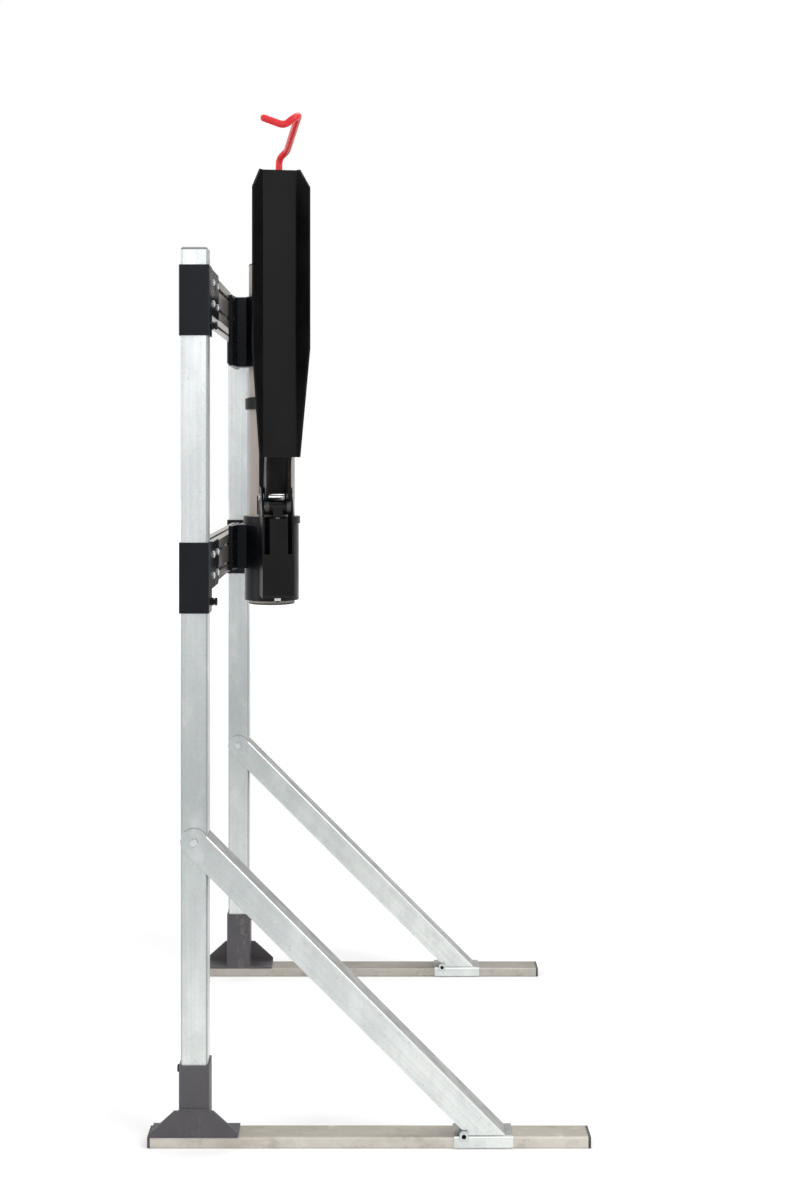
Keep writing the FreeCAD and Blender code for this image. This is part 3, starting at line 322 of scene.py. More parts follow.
def bright_zinc(name, scale, turn=(0, 0, 0)):
    finish = Finish(name, metallic=0.80)
    whole = finish.place()
    lines = finish.noise(finish.place(scale=scale, turn=turn), scale=230.0, detail=4.0)
    clouds = finish.noise(finish.place(scale=(1, 1, 0.45)), scale=24.0, detail=6.0, rough=0.62)
    specks = finish.noise(whole, scale=190.0, detail=5.0, rough=0.7)
    # Painted reflection: the stop at hip height is darker than the foot and the top.
    base = by_height(finish, (0.15, FOOT_ZINC), (0.65, HIP_PAINTED_REFLECTION), (1.4, TOP_ZINC))
    base = finish.paint(base, MILL_LINE, lines, none=0.65, full=0.35, most=0.22)
    base = finish.paint(base, CLOUD_DARK, clouds, none=0.54, full=0.40, most=0.20)
    base = finish.paint(base, CLOUD_PALE, clouds, none=0.54, full=0.72, most=0.26)
    base = finish.paint(base, SPECK, specks, none=0.58, full=0.70, most=0.42)
    base = finish.blend(0.06, base, finish.cells(whole, scale=420.0), "OVERLAY")
    # Painted dark reflection on the corner rounds.
    base = finish.blend(corners(finish, most=0.75), base, CORNER_PAINTED_REFLECTION)
    # Painted shade on faces that look up, with a cloudy tone.
    dust_and_shade = finish.shades(clouds, (0.38, UPWARD_SHADE_DARK), (0.62, UPWARD_SHADE_PALE))
    base = finish.blend(upward(finish, none=0.62, full=0.70, most=0.75), base, dust_and_shade)
    # Painted highlight on the round of each fold.
    base = finish.blend(folds(finish, most=0.65), base, FOLD_PAINTED_HIGHLIGHT)
    return coat(finish, base, clouds, (0.40, 0.28), lines, bump=0.05, depth=0.2 * MM, edge_radius=1.2 * MM)


BRACE_SLOPE = math.radians(-45)
zinc_upright = bright_zinc("zinc_upright", scale=(1, 1, 0.012))
zinc_slanted = bright_zinc("zinc_slanted", scale=(0.012, 1, 1), turn=(0, BRACE_SLOPE, 0))
zinc_folded = bright_zinc("zinc_folded", scale=(0.02, 1, 1))
dress(zinc_upright, "post_front", "post_rear")
dress(zinc_slanted, "brace_front", "brace_rear")
dress(zinc_folded, "saddle_front", "saddle_rear")
print("zinc on", len(dressed), "solids")

# %% [markdown]
# ## Galvanised rails
#
# The foot rails are flat tube of a warmer grey, scuffed from lying on workshop floors. Fine scratches run
# along the rail. Broad noise leaves dull brownish stains, and the top is darker than the sides. The rear
# rail is darker than the front one, partly duller zinc and partly painted shade, so the function takes a
# share that dims all its colours.

# %% Galvanised rails
STAIN_DARK, STAIN_MIDDLE, STAIN_PALE = (0.480, 0.440, 0.385), (0.570, 0.535, 0.480), (0.640, 0.610, 0.560)
# A darker colour for the rail's faces that look up.
RAIL_TOP_DARKER = (0.330, 0.300, 0.250)
SPOT_DARK, SPOT_PALE = (0.270, 0.240, 0.205), (0.700, 0.675, 0.635)
SCRATCH = (0.680, 0.665, 0.640)


def scaled(tint, share, lift=0.0):
    """A colour made darker or paler by a share, and lifted a little."""
    return tuple(v * share + lift for v in tint)


def galvanised(name, share=1.0):
    finish = Finish(name, metallic=0.7)
    scratches = finish.noise(finish.place(scale=(0.05, 1, 1)), scale=380.0, detail=5.0, rough=0.7)
    stains = finish.noise(finish.place(scale=(0.6, 1, 1)), scale=16.0, detail=6.0, rough=0.62)
    moved = finish.place(scale=(0.8, 1, 1), shift=(0.7, 0, 0))
    spots = finish.noise(moved, scale=30.0, detail=8.0, rough=0.72)
    base = finish.shades(stains, (0.30, scaled(STAIN_DARK, share)), (0.52, scaled(STAIN_MIDDLE, share)),
                         (0.72, scaled(STAIN_PALE, share)))
    # Faces that look up are made darker than the sides.
    base = finish.blend(upward(finish, none=0.30, full=0.80, most=0.62), base, scaled(RAIL_TOP_DARKER, share))
    base = finish.paint(base, scaled(SPOT_DARK, share), spots, none=0.54, full=0.68, most=0.50)
    base = finish.paint(base, scaled(SPOT_PALE, share), spots, none=0.40, full=0.28, most=0.45)
    base = finish.paint(base, scaled(SCRATCH, share), scratches, none=0.52, full=0.72, most=0.28)
    return coat(finish, base, stains, (0.54, 0.36), scratches, bump=0.08, depth=0.2 * MM,
                edge_radius=1.2 * MM)


rail_zinc = galvanised("rail_zinc")
# The rear rail's copy is dimmed: partly duller zinc, partly painted shade.
rail_zinc_dull = galvanised("rail_zinc_dull", share=0.74)
dress(rail_zinc, "foot_rail_front")
dress(rail_zinc_dull, "foot_rail_rear")
print("rails done,", len(dressed), "solids so far")

# %% [markdown]
# ## Paint and powder coat
#
# Powder coat melts into a skin with a fine orange-peel surface. Black hides everything but its gloss,
# so the finish lives in the roughness and the bump, and in a thin paler line where handling has rubbed
# the edges. The foot brackets have a dark grey coat that is duller, with dust and scuffs on it, more of them
# on the rear one, whose grey is also a little darker, partly its own and partly painted shade. A low
# specular level keeps the blacks deep in a white room, where everything around them is bright.

# %% Powder coats
SCUFF = (0.30, 0.29, 0.285)
RUBBED_GREY = (0.24, 0.23, 0.235)


def powder_coat(name, tint, rough, specular, rubbed, peel=700.0, dust_and_shade=0.0):
    finish = Finish(name, specular=specular)
    whole = finish.place()
    skin = finish.noise(whole, scale=peel, detail=2.0)
    patches = finish.noise(whole, scale=14.0, detail=5.0, rough=0.6)
    base = finish.paint(tint, scaled(tint, 1.35, lift=0.002), patches, none=0.35, full=0.75)
    if dust_and_shade:
        scuffs = finish.noise(finish.place(scale=(1, 1, 0.5)), scale=30.0, detail=9.0, rough=0.78)
        base = finish.paint(base, SCUFF, scuffs, none=0.57, full=0.76, most=dust_and_shade)
    base = finish.paint(base, rubbed, edges(finish, radius=0.9 * MM), none=0.25, full=1.0, most=0.6)
    return coat(finish, base, patches, (rough - 0.07, rough + 0.08), skin, bump=0.16, depth=0.2 * MM,
                edge_radius=1.0 * MM)


satin_black = powder_coat("satin_black", (0.0040, 0.0050, 0.0078), rough=0.28, specular=0.14,
                          rubbed=(0.11, 0.11, 0.115))
lift_black = powder_coat("lift_black", (0.0036, 0.0036, 0.0038), rough=0.36, specular=0.12,
                         rubbed=(0.045, 0.045, 0.047))
foot_grey = powder_coat("foot_grey", (0.066, 0.062, 0.069), rough=0.52, specular=0.40, rubbed=RUBBED_GREY,
                        peel=480.0, dust_and_shade=0.40)
# The rear bracket's darker grey is partly its own coat and partly painted shade; its extra scuffs are dust.
foot_grey_scuffed = powder_coat("foot_grey_scuffed", (0.060, 0.056, 0.060), rough=0.52, specular=0.40,
                                rubbed=RUBBED_GREY, peel=480.0, dust_and_shade=0.80)
dress(satin_black, "sleeve_upper_front", "sleeve_upper_rear", "sleeve_lower_front", "sleeve_lower_rear",
      "swivel_bracket_upper", "swivel_bracket_lower")
dress(lift_black, "hinge_housing", "wheel_trough", "spring_foot", "stop_arm", "thrust_collar", "lift_cam",
      "gas_cylinder")
dress(foot_grey, "foot_bracket_front")
dress(foot_grey_scuffed, "foot_bracket_rear")
print("coats done,", len(dressed), "solids so far")

# %% [markdown]
# ## The mast's warm grey paint
#
# What shows of the mast is a matt, warm grey, with faint upright lines from the tube under the paint. It is
# lighter than the powder coat and has no metal in it, so its colour carries the finish.

# %% Painted mast


def tube_paint(name, tint):
    finish = Finish(name, specular=0.35)
    lines = finish.noise(finish.place(scale=(1, 1, 0.01)), scale=210.0)
    broad = finish.noise(finish.place(), scale=9.0, detail=4.0)
    deep = scaled(tint, 0.86)
    base = finish.paint(deep, tint, lines, none=0.35, full=0.68)
    base = finish.blend(0.30, base, finish.shades(broad, (0.3, deep), (0.7, scaled(tint, 1.12))))
    return coat(finish, base, broad, (0.44, 0.58), lines, bump=0.06, depth=0.2 * MM, edge_radius=1.0 * MM)


mast_coat = tube_paint("mast_coat", (0.365, 0.322, 0.290))
dress(mast_coat, "mast")
print("mast painted,", len(dressed), "solids so far")

# %% [markdown]
# ## Anodised beams
#
# The cross beams are extruded aluminium, anodised; their dark grey is a painted dark reflection. An
# extrusion has die lines along its whole length, which catch the light as hair-fine streaks, and its edges
# carry a painted highlight.

# %% Anodised profile
# Both greys are a painted dark reflection, streaked by the die lines.
DIE_LINE_DARK_REFLECTION, DIE_LINE_PALE_REFLECTION = (0.330, 0.314, 0.292), (0.450, 0.430, 0.402)
# A painted highlight along the profile's edges.
PROFILE_EDGE_HIGHLIGHT = (0.56, 0.55, 0.53)


def anodised(name):
    finish = Finish(name, metallic=0.9)
    die_lines = finish.noise(finish.place(scale=(1, 0.006, 1)), scale=520.0, detail=4.0, rough=0.6)
    haze = finish.noise(finish.place(), scale=9.0)
    # The beam's dark grey is a painted dark reflection over the die lines.
    base = finish.shades(die_lines, (0.35, DIE_LINE_DARK_REFLECTION), (0.68, DIE_LINE_PALE_REFLECTION))
    # Painted highlight along the beam's edges.
    base = finish.paint(base, PROFILE_EDGE_HIGHLIGHT, edges(finish, radius=0.7 * MM), none=0.3, full=1.0, most=0.6)
    return coat(finish, base, haze, (0.32, 0.44), die_lines, bump=0.12, depth=0.2 * MM, edge_radius=0.8 * MM)


beam_skin = anodised("beam_skin")
dress(beam_skin, "beam_upper", "beam_lower")
print("beams done,", len(dressed), "solids so far")

# %% [markdown]
# ## Plastic, rubber and the dipped hook
#
# The caps are moulded plastic with a fine spark-eroded grain. The bushes are bearing plastic, the stop is
# rubber, and the hook's rod is dipped in soft red vinyl, which dries smooth, with a slow unevenness in its
# gloss.

# %% Mouldings


def moulded(name, tint, rough, grain=1500.0, cloud=0.12, bump=0.14):
    finish = Finish(name, specular=0.35)
    whole = finish.place()
    fine = finish.noise(whole, scale=grain, detail=2.0)
    broad = finish.noise(whole, scale=26.0, detail=4.0)
    base = finish.paint(tint, scaled(tint, 1 + cloud, lift=0.004), broad, none=0.3, full=0.7)
    return coat(finish, base, broad, (rough - 0.06, rough + 0.06), fine, bump=bump, depth=0.2 * MM,
                edge_radius=0.8 * MM)


cap_grey = moulded("cap_grey", (0.20, 0.205, 0.21), rough=0.55)
cap_dark = moulded("cap_dark", (0.060, 0.058, 0.055), rough=0.55)
bush_plastic = moulded("bush_plastic", (0.030, 0.030, 0.032), rough=0.45)
stop_rubber = moulded("stop_rubber", (0.012, 0.012, 0.012), rough=0.75, grain=900.0, bump=0.3)
hook_vinyl = moulded("hook_vinyl", (0.60, 0.016, 0.020), rough=0.36, grain=60.0, cloud=0.18, bump=0.03)
dress(cap_grey, "post_cap_front", "post_cap_rear")
dress(cap_dark, "rail_caps", "mast_caps")
dress(bush_plastic, "swivel_bush_upper", "swivel_bush_lower", "cam_roller")
dress(stop_rubber, "stop_pad")
dress(hook_vinyl, "wheel_hook")
print("mouldings done,", len(dressed), "solids so far")

# %% [markdown]
# ## Bright and black steel
#
# Screws are turned and plated: smooth, nearly mirror-like, with a few handling marks. Black oxide is the
# same steel under a dark skin. A thin dark line of painted shade runs along the edges of bright heads. The
# gas spring's rod and the hinge tube are hard chrome, ground smooth.

# %% Fasteners and turned steel
# A dark line of painted shade along the edges of bright heads.
EDGE_PAINTED_SHADE = (0.07, 0.072, 0.072)


def turned_steel(name, tint, rough, metallic=1.0, specular=0.4, edge_shade=0.0):
    finish = Finish(name, metallic=metallic, specular=specular)
    whole = finish.place()
    marks = finish.noise(whole, scale=380.0, detail=4.0, rough=0.6)
    wipe = finish.noise(whole, scale=60.0)
    base = finish.paint(scaled(tint, 0.72), tint, marks, none=0.32, full=0.62)
    if edge_shade:
        # Painted shade: a dark line along the heads' edges.
        base = finish.paint(base, EDGE_PAINTED_SHADE, edges(finish, radius=0.8 * MM), none=0.2, full=0.8, most=edge_shade)
    return coat(finish, base, wipe, (rough - 0.08, rough + 0.10), marks, bump=0.05, depth=0.1 * MM,
                edge_radius=0.5 * MM)


plated = turned_steel("plated_screw", (0.60, 0.62, 0.625), rough=0.20, edge_shade=0.85)
oxide = turned_steel("oxide_screw", (0.010, 0.010, 0.011), rough=0.38, metallic=0.3, specular=0.14)
chrome = turned_steel("ground_chrome", (0.70, 0.71, 0.73), rough=0.16)
dress(plated, "brace_bolts", "saddle_nuts", "beam_screws", "beam_nuts", "bracket_nuts", "hinge_axle",
      "spring_nut", "roller_pin")
dress(oxide, "socket_bolts", "sleeve_bolts", "bracket_screws", "saddle_screws", "tie_bar", "rod_clevis")
dress(chrome, "gas_rod", "hinge_tube")
print("dressed", len(dressed), "of", len(nodes), "solids; left:", sorted(set(nodes) - dressed))

# %% [markdown]
# ## A helper for Geometry Nodes
#
# Screws repeat, and weld seams follow a path. Both are jobs for Geometry Nodes: we give a few points or a
# line, and a tree of nodes puts the same small form everywhere. Each tree has named inputs for its sizes.
# The helper below starts such a tree and ends it in the same way each time: real geometry in place of
# instances, then one material.

# %% The Rig helper


class Rig(Bench):
    """A Geometry Nodes tree with named sizes, ended by Realize Instances and Set Material."""

    def __init__(self, name, **sizes):
        super().__init__(bpy.data.node_groups.new(name, "GeometryNodeTree"))
        sockets = self.tree.interface
        sockets.new_socket("Geometry", in_out="INPUT", socket_type="NodeSocketGeometry")
        sockets.new_socket("Finish", in_out="INPUT", socket_type="NodeSocketMaterial")
        for label, value in sizes.items():
            made = sockets.new_socket(label, in_out="INPUT", socket_type="NodeSocketFloat")
            made.default_value = value
        sockets.new_socket("Geometry", in_out="OUTPUT", socket_type="NodeSocketGeometry")
        self.given = self.add("NodeGroupInput").outputs

    def close(self, geometry):
        solid = self.feed(self.add("GeometryNodeRealizeInstances"), Geometry=geometry)
        painted = self.feed(self.add("GeometryNodeSetMaterial"), Geometry=solid.outputs["Geometry"],
                            Material=self.given["Finish"])
        self.feed(self.add("NodeGroupOutput"), Geometry=painted.outputs["Geometry"])
        return self

    def on_spots(self, shape):
        """The shape at every point, its Z axis turned to the point's own axis."""
        axis = self.feed(self.add("GeometryNodeInputNamedAttribute", data_type="FLOAT_VECTOR"), Name="axis")
        turn = self.feed(self.add("FunctionNodeAlignRotationToVector", axis="Z"),
                         Vector=axis.outputs["Attribute"])
        placed = self.feed(self.add("GeometryNodeInstanceOnPoints"), Points=self.given["Geometry"],
                           Instance=shape, Rotation=turn.outputs["Rotation"])
        return self.close(placed.outputs["Instances"])


print("rig helper ready")

# %% [markdown]
# ## Small solids inside a tree
#
# A fastener is turned and milled from bar, and a tree can copy that: start from a rod or a prism, keep what
# two forms share, or take one out of another. These helpers each add the nodes for one such cut.

# %% Rods, cuts and joins


def raised(rig, mesh, height):
    lift = rig.feed(rig.add("ShaderNodeCombineXYZ"), Z=height)
    moved = rig.feed(rig.add("GeometryNodeTransform"), Geometry=mesh, Translation=lift.outputs[0])
    return moved.outputs["Geometry"]


def rod(rig, sides, radius, low, high):
    """A closed prism or cylinder along Z from low to high."""
    tall = rig.arithmetic("SUBTRACT", high, low)
    body = rig.feed(rig.add("GeometryNodeMeshCylinder"), Vertices=sides, Radius=radius, Depth=tall)
    middle_height = rig.arithmetic("MULTIPLY", rig.arithmetic("ADD", low, high), 0.5)
    return raised(rig, body.outputs["Mesh"], middle_height)


def shared(rig, *meshes):
    """What several meshes have in common."""
    node = rig.add("GeometryNodeMeshBoolean", operation="INTERSECT", solver="EXACT")
    for mesh in meshes:
        rig.feed(node, Mesh_2=mesh)
    return node.outputs["Mesh"]


def less(rig, body, tool):
    """A body with a tool's shape taken out of it."""
    node = rig.add("GeometryNodeMeshBoolean", operation="DIFFERENCE", solver="EXACT")
    return rig.feed(node, Mesh_1=body, Mesh_2=tool).outputs["Mesh"]


def joined(rig, *meshes):
    node = rig.add("GeometryNodeJoinGeometry")
    for mesh in meshes:
        rig.feed(node, Geometry=mesh)
    return node.outputs["Geometry"]


print("solid helpers ready")

# %% [markdown]
# ## From a tree to a plain mesh
#
# A tree runs as a modifier on an object that holds only points or lines. We set its inputs by their
# identifiers, let Blender work it out, and keep the result as a plain mesh, because other programs know
# nothing of Blender's modifiers. Smooth shading with sharp edges above a set angle makes round heads round
# and keeps key holes crisp.

# %% Grow a piece
SHARP_ANGLE = math.radians(32)


def spots_object(name, points, lines, axes):
    """An object of bare points or lines, with an axis stored on each point where axes are given."""
    spots = bpy.data.meshes.new(name + "_spots")
    spots.from_pydata(points, lines, [])
    if axes:
        stored = spots.attributes.new("axis", "FLOAT_VECTOR", "POINT")
        for item, axis in zip(stored.data, axes):
            item.vector = axis
    holder = bpy.data.objects.new(name + "_spots", spots)
    bpy.context.scene.collection.objects.link(holder)
    return holder


def grow(rig, name, finish, points, lines=(), axes=(), **sizes):
    """Run the tree on points or lines and return the result as a plain mesh object."""
    holder = spots_object(name, points, lines, axes)
    modifier = holder.modifiers.new("grow", "NODES")
    modifier.node_group = rig.tree
    settings = {"Finish": finish.material, **sizes}
    for item in rig.tree.interface.items_tree:
        if item.in_out == "INPUT" and item.name in settings:
            modifier[item.identifier] = settings[item.name]
    ready = holder.evaluated_get(bpy.context.evaluated_depsgraph_get())
    mesh = bpy.data.meshes.new_from_object(ready)
    mesh.shade_smooth()
    mesh.set_sharp_from_angle(angle=SHARP_ANGLE)
    holder.modifiers.clear()
    bpy.data.objects.remove(holder)
    piece = bpy.data.objects.new(name, mesh)
    bpy.context.scene.collection.objects.link(piece)
    print(name, "has", len(mesh.polygons), "faces from", len(points), "points")
    return piece


print("ready to grow pieces")

# %% [markdown]
# ## The stand's own lines
#
# Fasteners and seams sit on the stand's main lines: the middles of the posts and beams, and the faces of
# what slips over a post. All of these come from the frame, so they can't drift from the drawing.

# %% Read the stand's lines from the frame


def middle(node):
    low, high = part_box(node)
    return (low + high) / 2


post_x, front_y, _ = middle("post_front")
rear_y = middle("post_rear").y
post_rows = (front_y, rear_y)
beam_heights = (middle("beam_lower").z, middle("beam_upper").z)
sleeve_half = post_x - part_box("sleeve_upper_front")[0].x
sleeve_face = post_x + sleeve_half
print("posts at y", [round(y, 4) for y in post_rows], "beams at z", [round(z, 4) for z in beam_heights])

# %% [markdown]
# ## Button-head screws
#
# Sixteen bright screws hold the sleeves' flanges to the beams, and eight black ones hold the swivel brackets.
# All have a low dome with a six-sided key hole. The dome is what a ball and a short cylinder share, and the
# key hole is a six-sided prism taken out of it. The tree does that once and sets the result on every point,
# turned to the point's own axis. The new screws stand for the plainer CAD ones, in the same places.

# %% Make the button screws
GROOVE = 20 * MM
FLANGE_HOLES = (27 * MM, 110 * MM)
SWIVEL_HOLE = 73 * MM
SWIVEL_PLATE = 5 * MM
ALONG_X = (1, 0, 0)


def button_screw_rig():
    rig = Rig("button_screw", Head=7 * MM, Dome=10.15 * MM, Sunk=5.75 * MM, Key=2.9 * MM, Floor=1.4 * MM,
              Shank=4 * MM, Grip=6 * MM)
    given = rig.given
    ball = rig.feed(rig.add("GeometryNodeMeshUVSphere"), Segments=40, Rings=28, Radius=given["Dome"])
    ball = raised(rig, ball.outputs["Mesh"], rig.arithmetic("MULTIPLY", given["Sunk"], -1.0))
    dome = shared(rig, ball, rod(rig, 40, given["Head"], 0.0, given["Head"]))
    head = less(rig, dome, rod(rig, 6, given["Key"], given["Floor"], given["Head"]))
    under = rig.arithmetic("MULTIPLY", given["Grip"], -1.0)
    shank = rod(rig, 20, given["Shank"], under, given["Floor"])
    return rig.on_spots(joined(rig, head, shank))


button_screw = button_screw_rig()
screw_rows = [z + side for z in beam_heights for side in (-GROOVE, GROOVE)]
holes_in = [sleeve_half + hole for hole in FLANGE_HOLES]
flange_y = [front_y + inward for inward in holes_in] + [rear_y - inward for inward in reversed(holes_in)]
flange_spots = [(sleeve_face, y, z) for y in flange_y for z in screw_rows]
swivel_spots = [(sleeve_face + SWIVEL_PLATE, y, z) for y in (-SWIVEL_HOLE, SWIVEL_HOLE) for z in screw_rows]
flange_screws = grow(button_screw, "flange_screws", plated, flange_spots, axes=[ALONG_X] * len(flange_spots))
swivel_screws = grow(button_screw, "swivel_screws", oxide, swivel_spots, axes=[ALONG_X] * len(swivel_spots))
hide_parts("beam_screws")
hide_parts("bracket_screws")
for screws, finish_slot in ((flange_screws, "bright_screw"), (swivel_screws, "black_screw")):
    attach(screws, "frame")

# %% [markdown]
# ## Hexagon bolts and nuts
#
# A real bolt head is turned before it is milled: the corners are cut back by a cone, and a thin round face
# under the head bears on the sheet. So the head is what a prism and a blunt cone share, with a disc below it.
# Nuts use the same tree, taller, with the bolt's end standing out of the top.

# %% The hexagon head
WASHER_FACE = 0.5 * MM
CONE_SPREAD = 1.75


def hex_rig():
    rig = Rig("hex_head", Corner=7.5 * MM, Tall=5.3 * MM, Face=6.4 * MM, Crown=6.2 * MM, Stud=4 * MM,
              Top=2 * MM, Foot=2 * MM)
    given = rig.given
    spread = rig.arithmetic("MULTIPLY", given["Tall"], CONE_SPREAD)
    cone = rig.feed(rig.add("GeometryNodeMeshCone"), Vertices=40, Radius_Top=given["Crown"],
                    Radius_Bottom=rig.arithmetic("ADD", given["Crown"], spread), Depth=given["Tall"])
    head = shared(rig, rod(rig, 6, given["Corner"], WASHER_FACE, given["Tall"]), cone.outputs["Mesh"])
    disc = rod(rig, 40, given["Face"], 0.0, WASHER_FACE)
    stud = rod(rig, 20, given["Stud"], rig.arithmetic("MULTIPLY", given["Foot"], -1.0), given["Top"])
    return rig.on_spots(joined(rig, head, disc, stud))


hex_head = hex_rig()
print("hexagon head ready")

# %% [markdown]
# One cross bolt holds each brace to its post, with the head in front and the nut behind. Each sleeve has a
# set bolt through a nut below its beam, and each foot bracket has one on its side: on the left at the front
# post, on the right at the rear one.

# %% Make the hexagon bolts
BRACE_BOLT_Z = 570 * MM
SET_BOLT_DROP = 65.5 * MM
NUT_STACK = 7.5 * MM
FOOT_BOLT_Z = 140 * MM
NUT_TALL = 6.5 * MM
brace_heads = [(post_x, y - sleeve_half, BRACE_BOLT_Z) for y in post_rows]
brace_ends = [(post_x, y + sleeve_half, BRACE_BOLT_Z) for y in post_rows]
set_bolts = [(y, z - SET_BOLT_DROP) for y in post_rows for z in beam_heights]
nut_spots = [(sleeve_face, y, z) for y, z in set_bolts]
head_spots = [(sleeve_face + NUT_STACK, y, z) for y, z in set_bolts]
foot_spots = [(post_x - sleeve_half, front_y, FOOT_BOLT_Z), (sleeve_face, rear_y, FOOT_BOLT_Z)]
brace_bolt_heads = grow(hex_head, "brace_bolt_heads", plated, brace_heads, axes=[(0, -1, 0)] * 2)
brace_bolt_nuts = grow(hex_head, "brace_bolt_nuts", plated, brace_ends, axes=[(0, 1, 0)] * 2, Tall=NUT_TALL,
                       Top=9.5 * MM, Foot=50 * MM)
sleeve_nuts = grow(hex_head, "sleeve_nuts", oxide, nut_spots, axes=[ALONG_X] * 4, Tall=NUT_TALL, Top=8 * MM)
sleeve_bolt_heads = grow(hex_head, "sleeve_bolt_heads", oxide, head_spots, axes=[ALONG_X] * 4)
foot_bolt_heads = grow(hex_head, "foot_bolt_heads", oxide, foot_spots, axes=[(-1, 0, 0), ALONG_X])
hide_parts("brace_bolts")
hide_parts("sleeve_bolts")
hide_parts("socket_bolts")
for bolts, finish_slot in ((brace_bolt_heads, "bright_screw"), (brace_bolt_nuts, "bright_screw"),
                           (sleeve_nuts, "black_screw"), (sleeve_bolt_heads, "black_screw"),
                           (foot_bolt_heads, "black_screw")):
    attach(bolts, "frame")

# %% [markdown]
# ## Weld seams
#
# A weld is a row of small overlapping drops along a joint. The tree turns a line into a curve, sets points on
# it at an even pitch, and puts a ball on each, turned along the line and a little uneven in size. The seed is
# fixed, so every run lays the same drops. Paint covers the seams, so they take the finish of the metal around
# them.

# %% The weld seam
SMALLEST_DROP, LARGEST_DROP = 0.86, 1.12
PITCH_SHARE = 0.85


def weld_rig():
    rig = Rig("weld_seam", Bead=2.2 * MM, Pitch=1.8 * MM)
    given = rig.given
    line = rig.feed(rig.add("GeometryNodeMeshToCurve"), Mesh=given["Geometry"])
    spaced = rig.feed(rig.add("GeometryNodeResampleCurve", mode="LENGTH"), Curve=line.outputs["Curve"],
                      Length=given["Pitch"])
    drop = rig.feed(rig.add("GeometryNodeMeshUVSphere"), Segments=8, Rings=5, Radius=given["Bead"])
    # The Random Value node has a Min and a Max for each kind of value; 2 and 3 are those of a number.
    uneven = rig.feed(rig.add("FunctionNodeRandomValue", data_type="FLOAT"), Seed=7)
    rig.fill(uneven.inputs[2], SMALLEST_DROP)
    rig.fill(uneven.inputs[3], LARGEST_DROP)
    lie = rig.feed(rig.add("FunctionNodeAlignRotationToVector", axis="Z"),
                   Vector=rig.add("GeometryNodeInputTangent").outputs[0])
    laid = rig.feed(rig.add("GeometryNodeInstanceOnPoints"), Points=spaced.outputs["Curve"],
                    Instance=drop.outputs["Mesh"], Rotation=lie.outputs["Rotation"], Scale=uneven.outputs[1])
    return rig.close(laid.outputs["Instances"])


weld_seam = weld_rig()


def lay_seams(name, finish, paths, body, bead):
    """Weld along several open paths, given as rows of points in metres, as one piece on one body."""
    points, lines = [], []
    for path in paths:
        start = len(points)
        points += path
        lines += [(start + i, start + i + 1) for i in range(len(path) - 1)]
    seam = grow(weld_seam, name, finish, points, lines=lines, Bead=bead, Pitch=bead * PITCH_SHARE)
    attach(seam, body)


print("weld seam ready")

# %% [markdown]
# On each foot bracket one seam runs along the top of the gusset on the outer side, and two run along the
# base plate, beside the socket.

# %% Welds on the feet
GUSSET_TOP = 72.5 * MM
PLATE_TOP = 25.8 * MM
SEAM_REACH = 26 * MM
GUSSET_OFF = 1.3 * MM
SOCKET_OFF = 0.8 * MM
foot_paths = []
for post_y, outer in ((front_y, -1), (rear_y, 1)):
    gusset_y = post_y + outer * (sleeve_half + GUSSET_OFF)
    foot_paths.append([(post_x + reach, gusset_y, GUSSET_TOP) for reach in (-SEAM_REACH, SEAM_REACH)])
    for side in (-1, 1):
        seam_x = post_x + side * (sleeve_half + SOCKET_OFF)
        foot_paths.append([(seam_x, post_y + reach, PLATE_TOP) for reach in (-SEAM_REACH, SEAM_REACH)])
lay_seams("foot_welds", foot_grey, foot_paths, "frame", 2.2 * MM)

# %% [markdown]
# The lift's own parts stand turned from the stand's axes, because the mast rests a little off square. The
# joints in the frame say how: the mast turns about one, and the trough's hinge lies along the other. One
# helper turns lengths along the lift's own axes (out from the mast, to its side, and up) into the stand's
# frame, so that the seams can be written in the lift's own terms.

# %% The lift's axes
joints = {joint["name"]: joint for joint in frame["joints"]}
mast_x, mast_y, _ = joints["mast_swivel"]["pos_m"]
mast_middle = Vector((mast_x, mast_y, 0.0))
straight_up = Vector((0.0, 0.0, 1.0))
lift_side = Vector(joints["arm_lift"]["axis"])
lift_out = lift_side.cross(straight_up)
hinge = Vector(joints["arm_lift"]["pos_m"])
hinge_out = (hinge - mast_middle).dot(lift_out)
hinge_up = hinge.z


def on_lift(out, side, up):
    """A point of the lift, given along its own axes, in the stand's frame."""
    return tuple(mast_middle + lift_out * out + lift_side * side + straight_up * up)


def ring(count, place):
    """A closed row of points from a function of the angle."""
    return [place(2 * math.pi * step / count) for step in range(count + 1)]


print("the hinge lies", round(hinge_out, 4), "m out from the mast and", round(hinge_up, 4), "m up")

# %% [markdown]
# The housing is welded to the mast along both its sides, and the stop arm all round it. On the trough, the
# two hinge plates have a seam on each face and a ring round the hinge tube, and the hook's rod has a seam
# along both sides.

# %% Welds on the lift
HOUSING_OUT, HOUSING_SIDE, HOUSING_LOW = 38.6 * MM, 33.7 * MM, 1163 * MM
STOP_RADIUS, STOP_UP = 50.8 * MM, 1412.5 * MM
PLATE_OUT, PLATE_ENDS = 180.4 * MM, (1290 * MM, 1362 * MM)
PLATE_INNER, PLATE_OUTER = 19.4 * MM, 26.6 * MM
TUBE_RADIUS = 8.7 * MM
HOOK_OUT, HOOK_SIDE, HOOK_ENDS = 180 * MM, 4.5 * MM, (1756 * MM, 1872 * MM)
housing_paths = [[on_lift(HOUSING_OUT, side, up) for up in (HOUSING_LOW, hinge_up)]
                 for side in (-HOUSING_SIDE, HOUSING_SIDE)]
stop_ring = ring(48, lambda a: on_lift(STOP_RADIUS * math.cos(a), STOP_RADIUS * math.sin(a), STOP_UP))
lay_seams("mast_welds", lift_black, housing_paths + [stop_ring], "mast", 1.7 * MM)
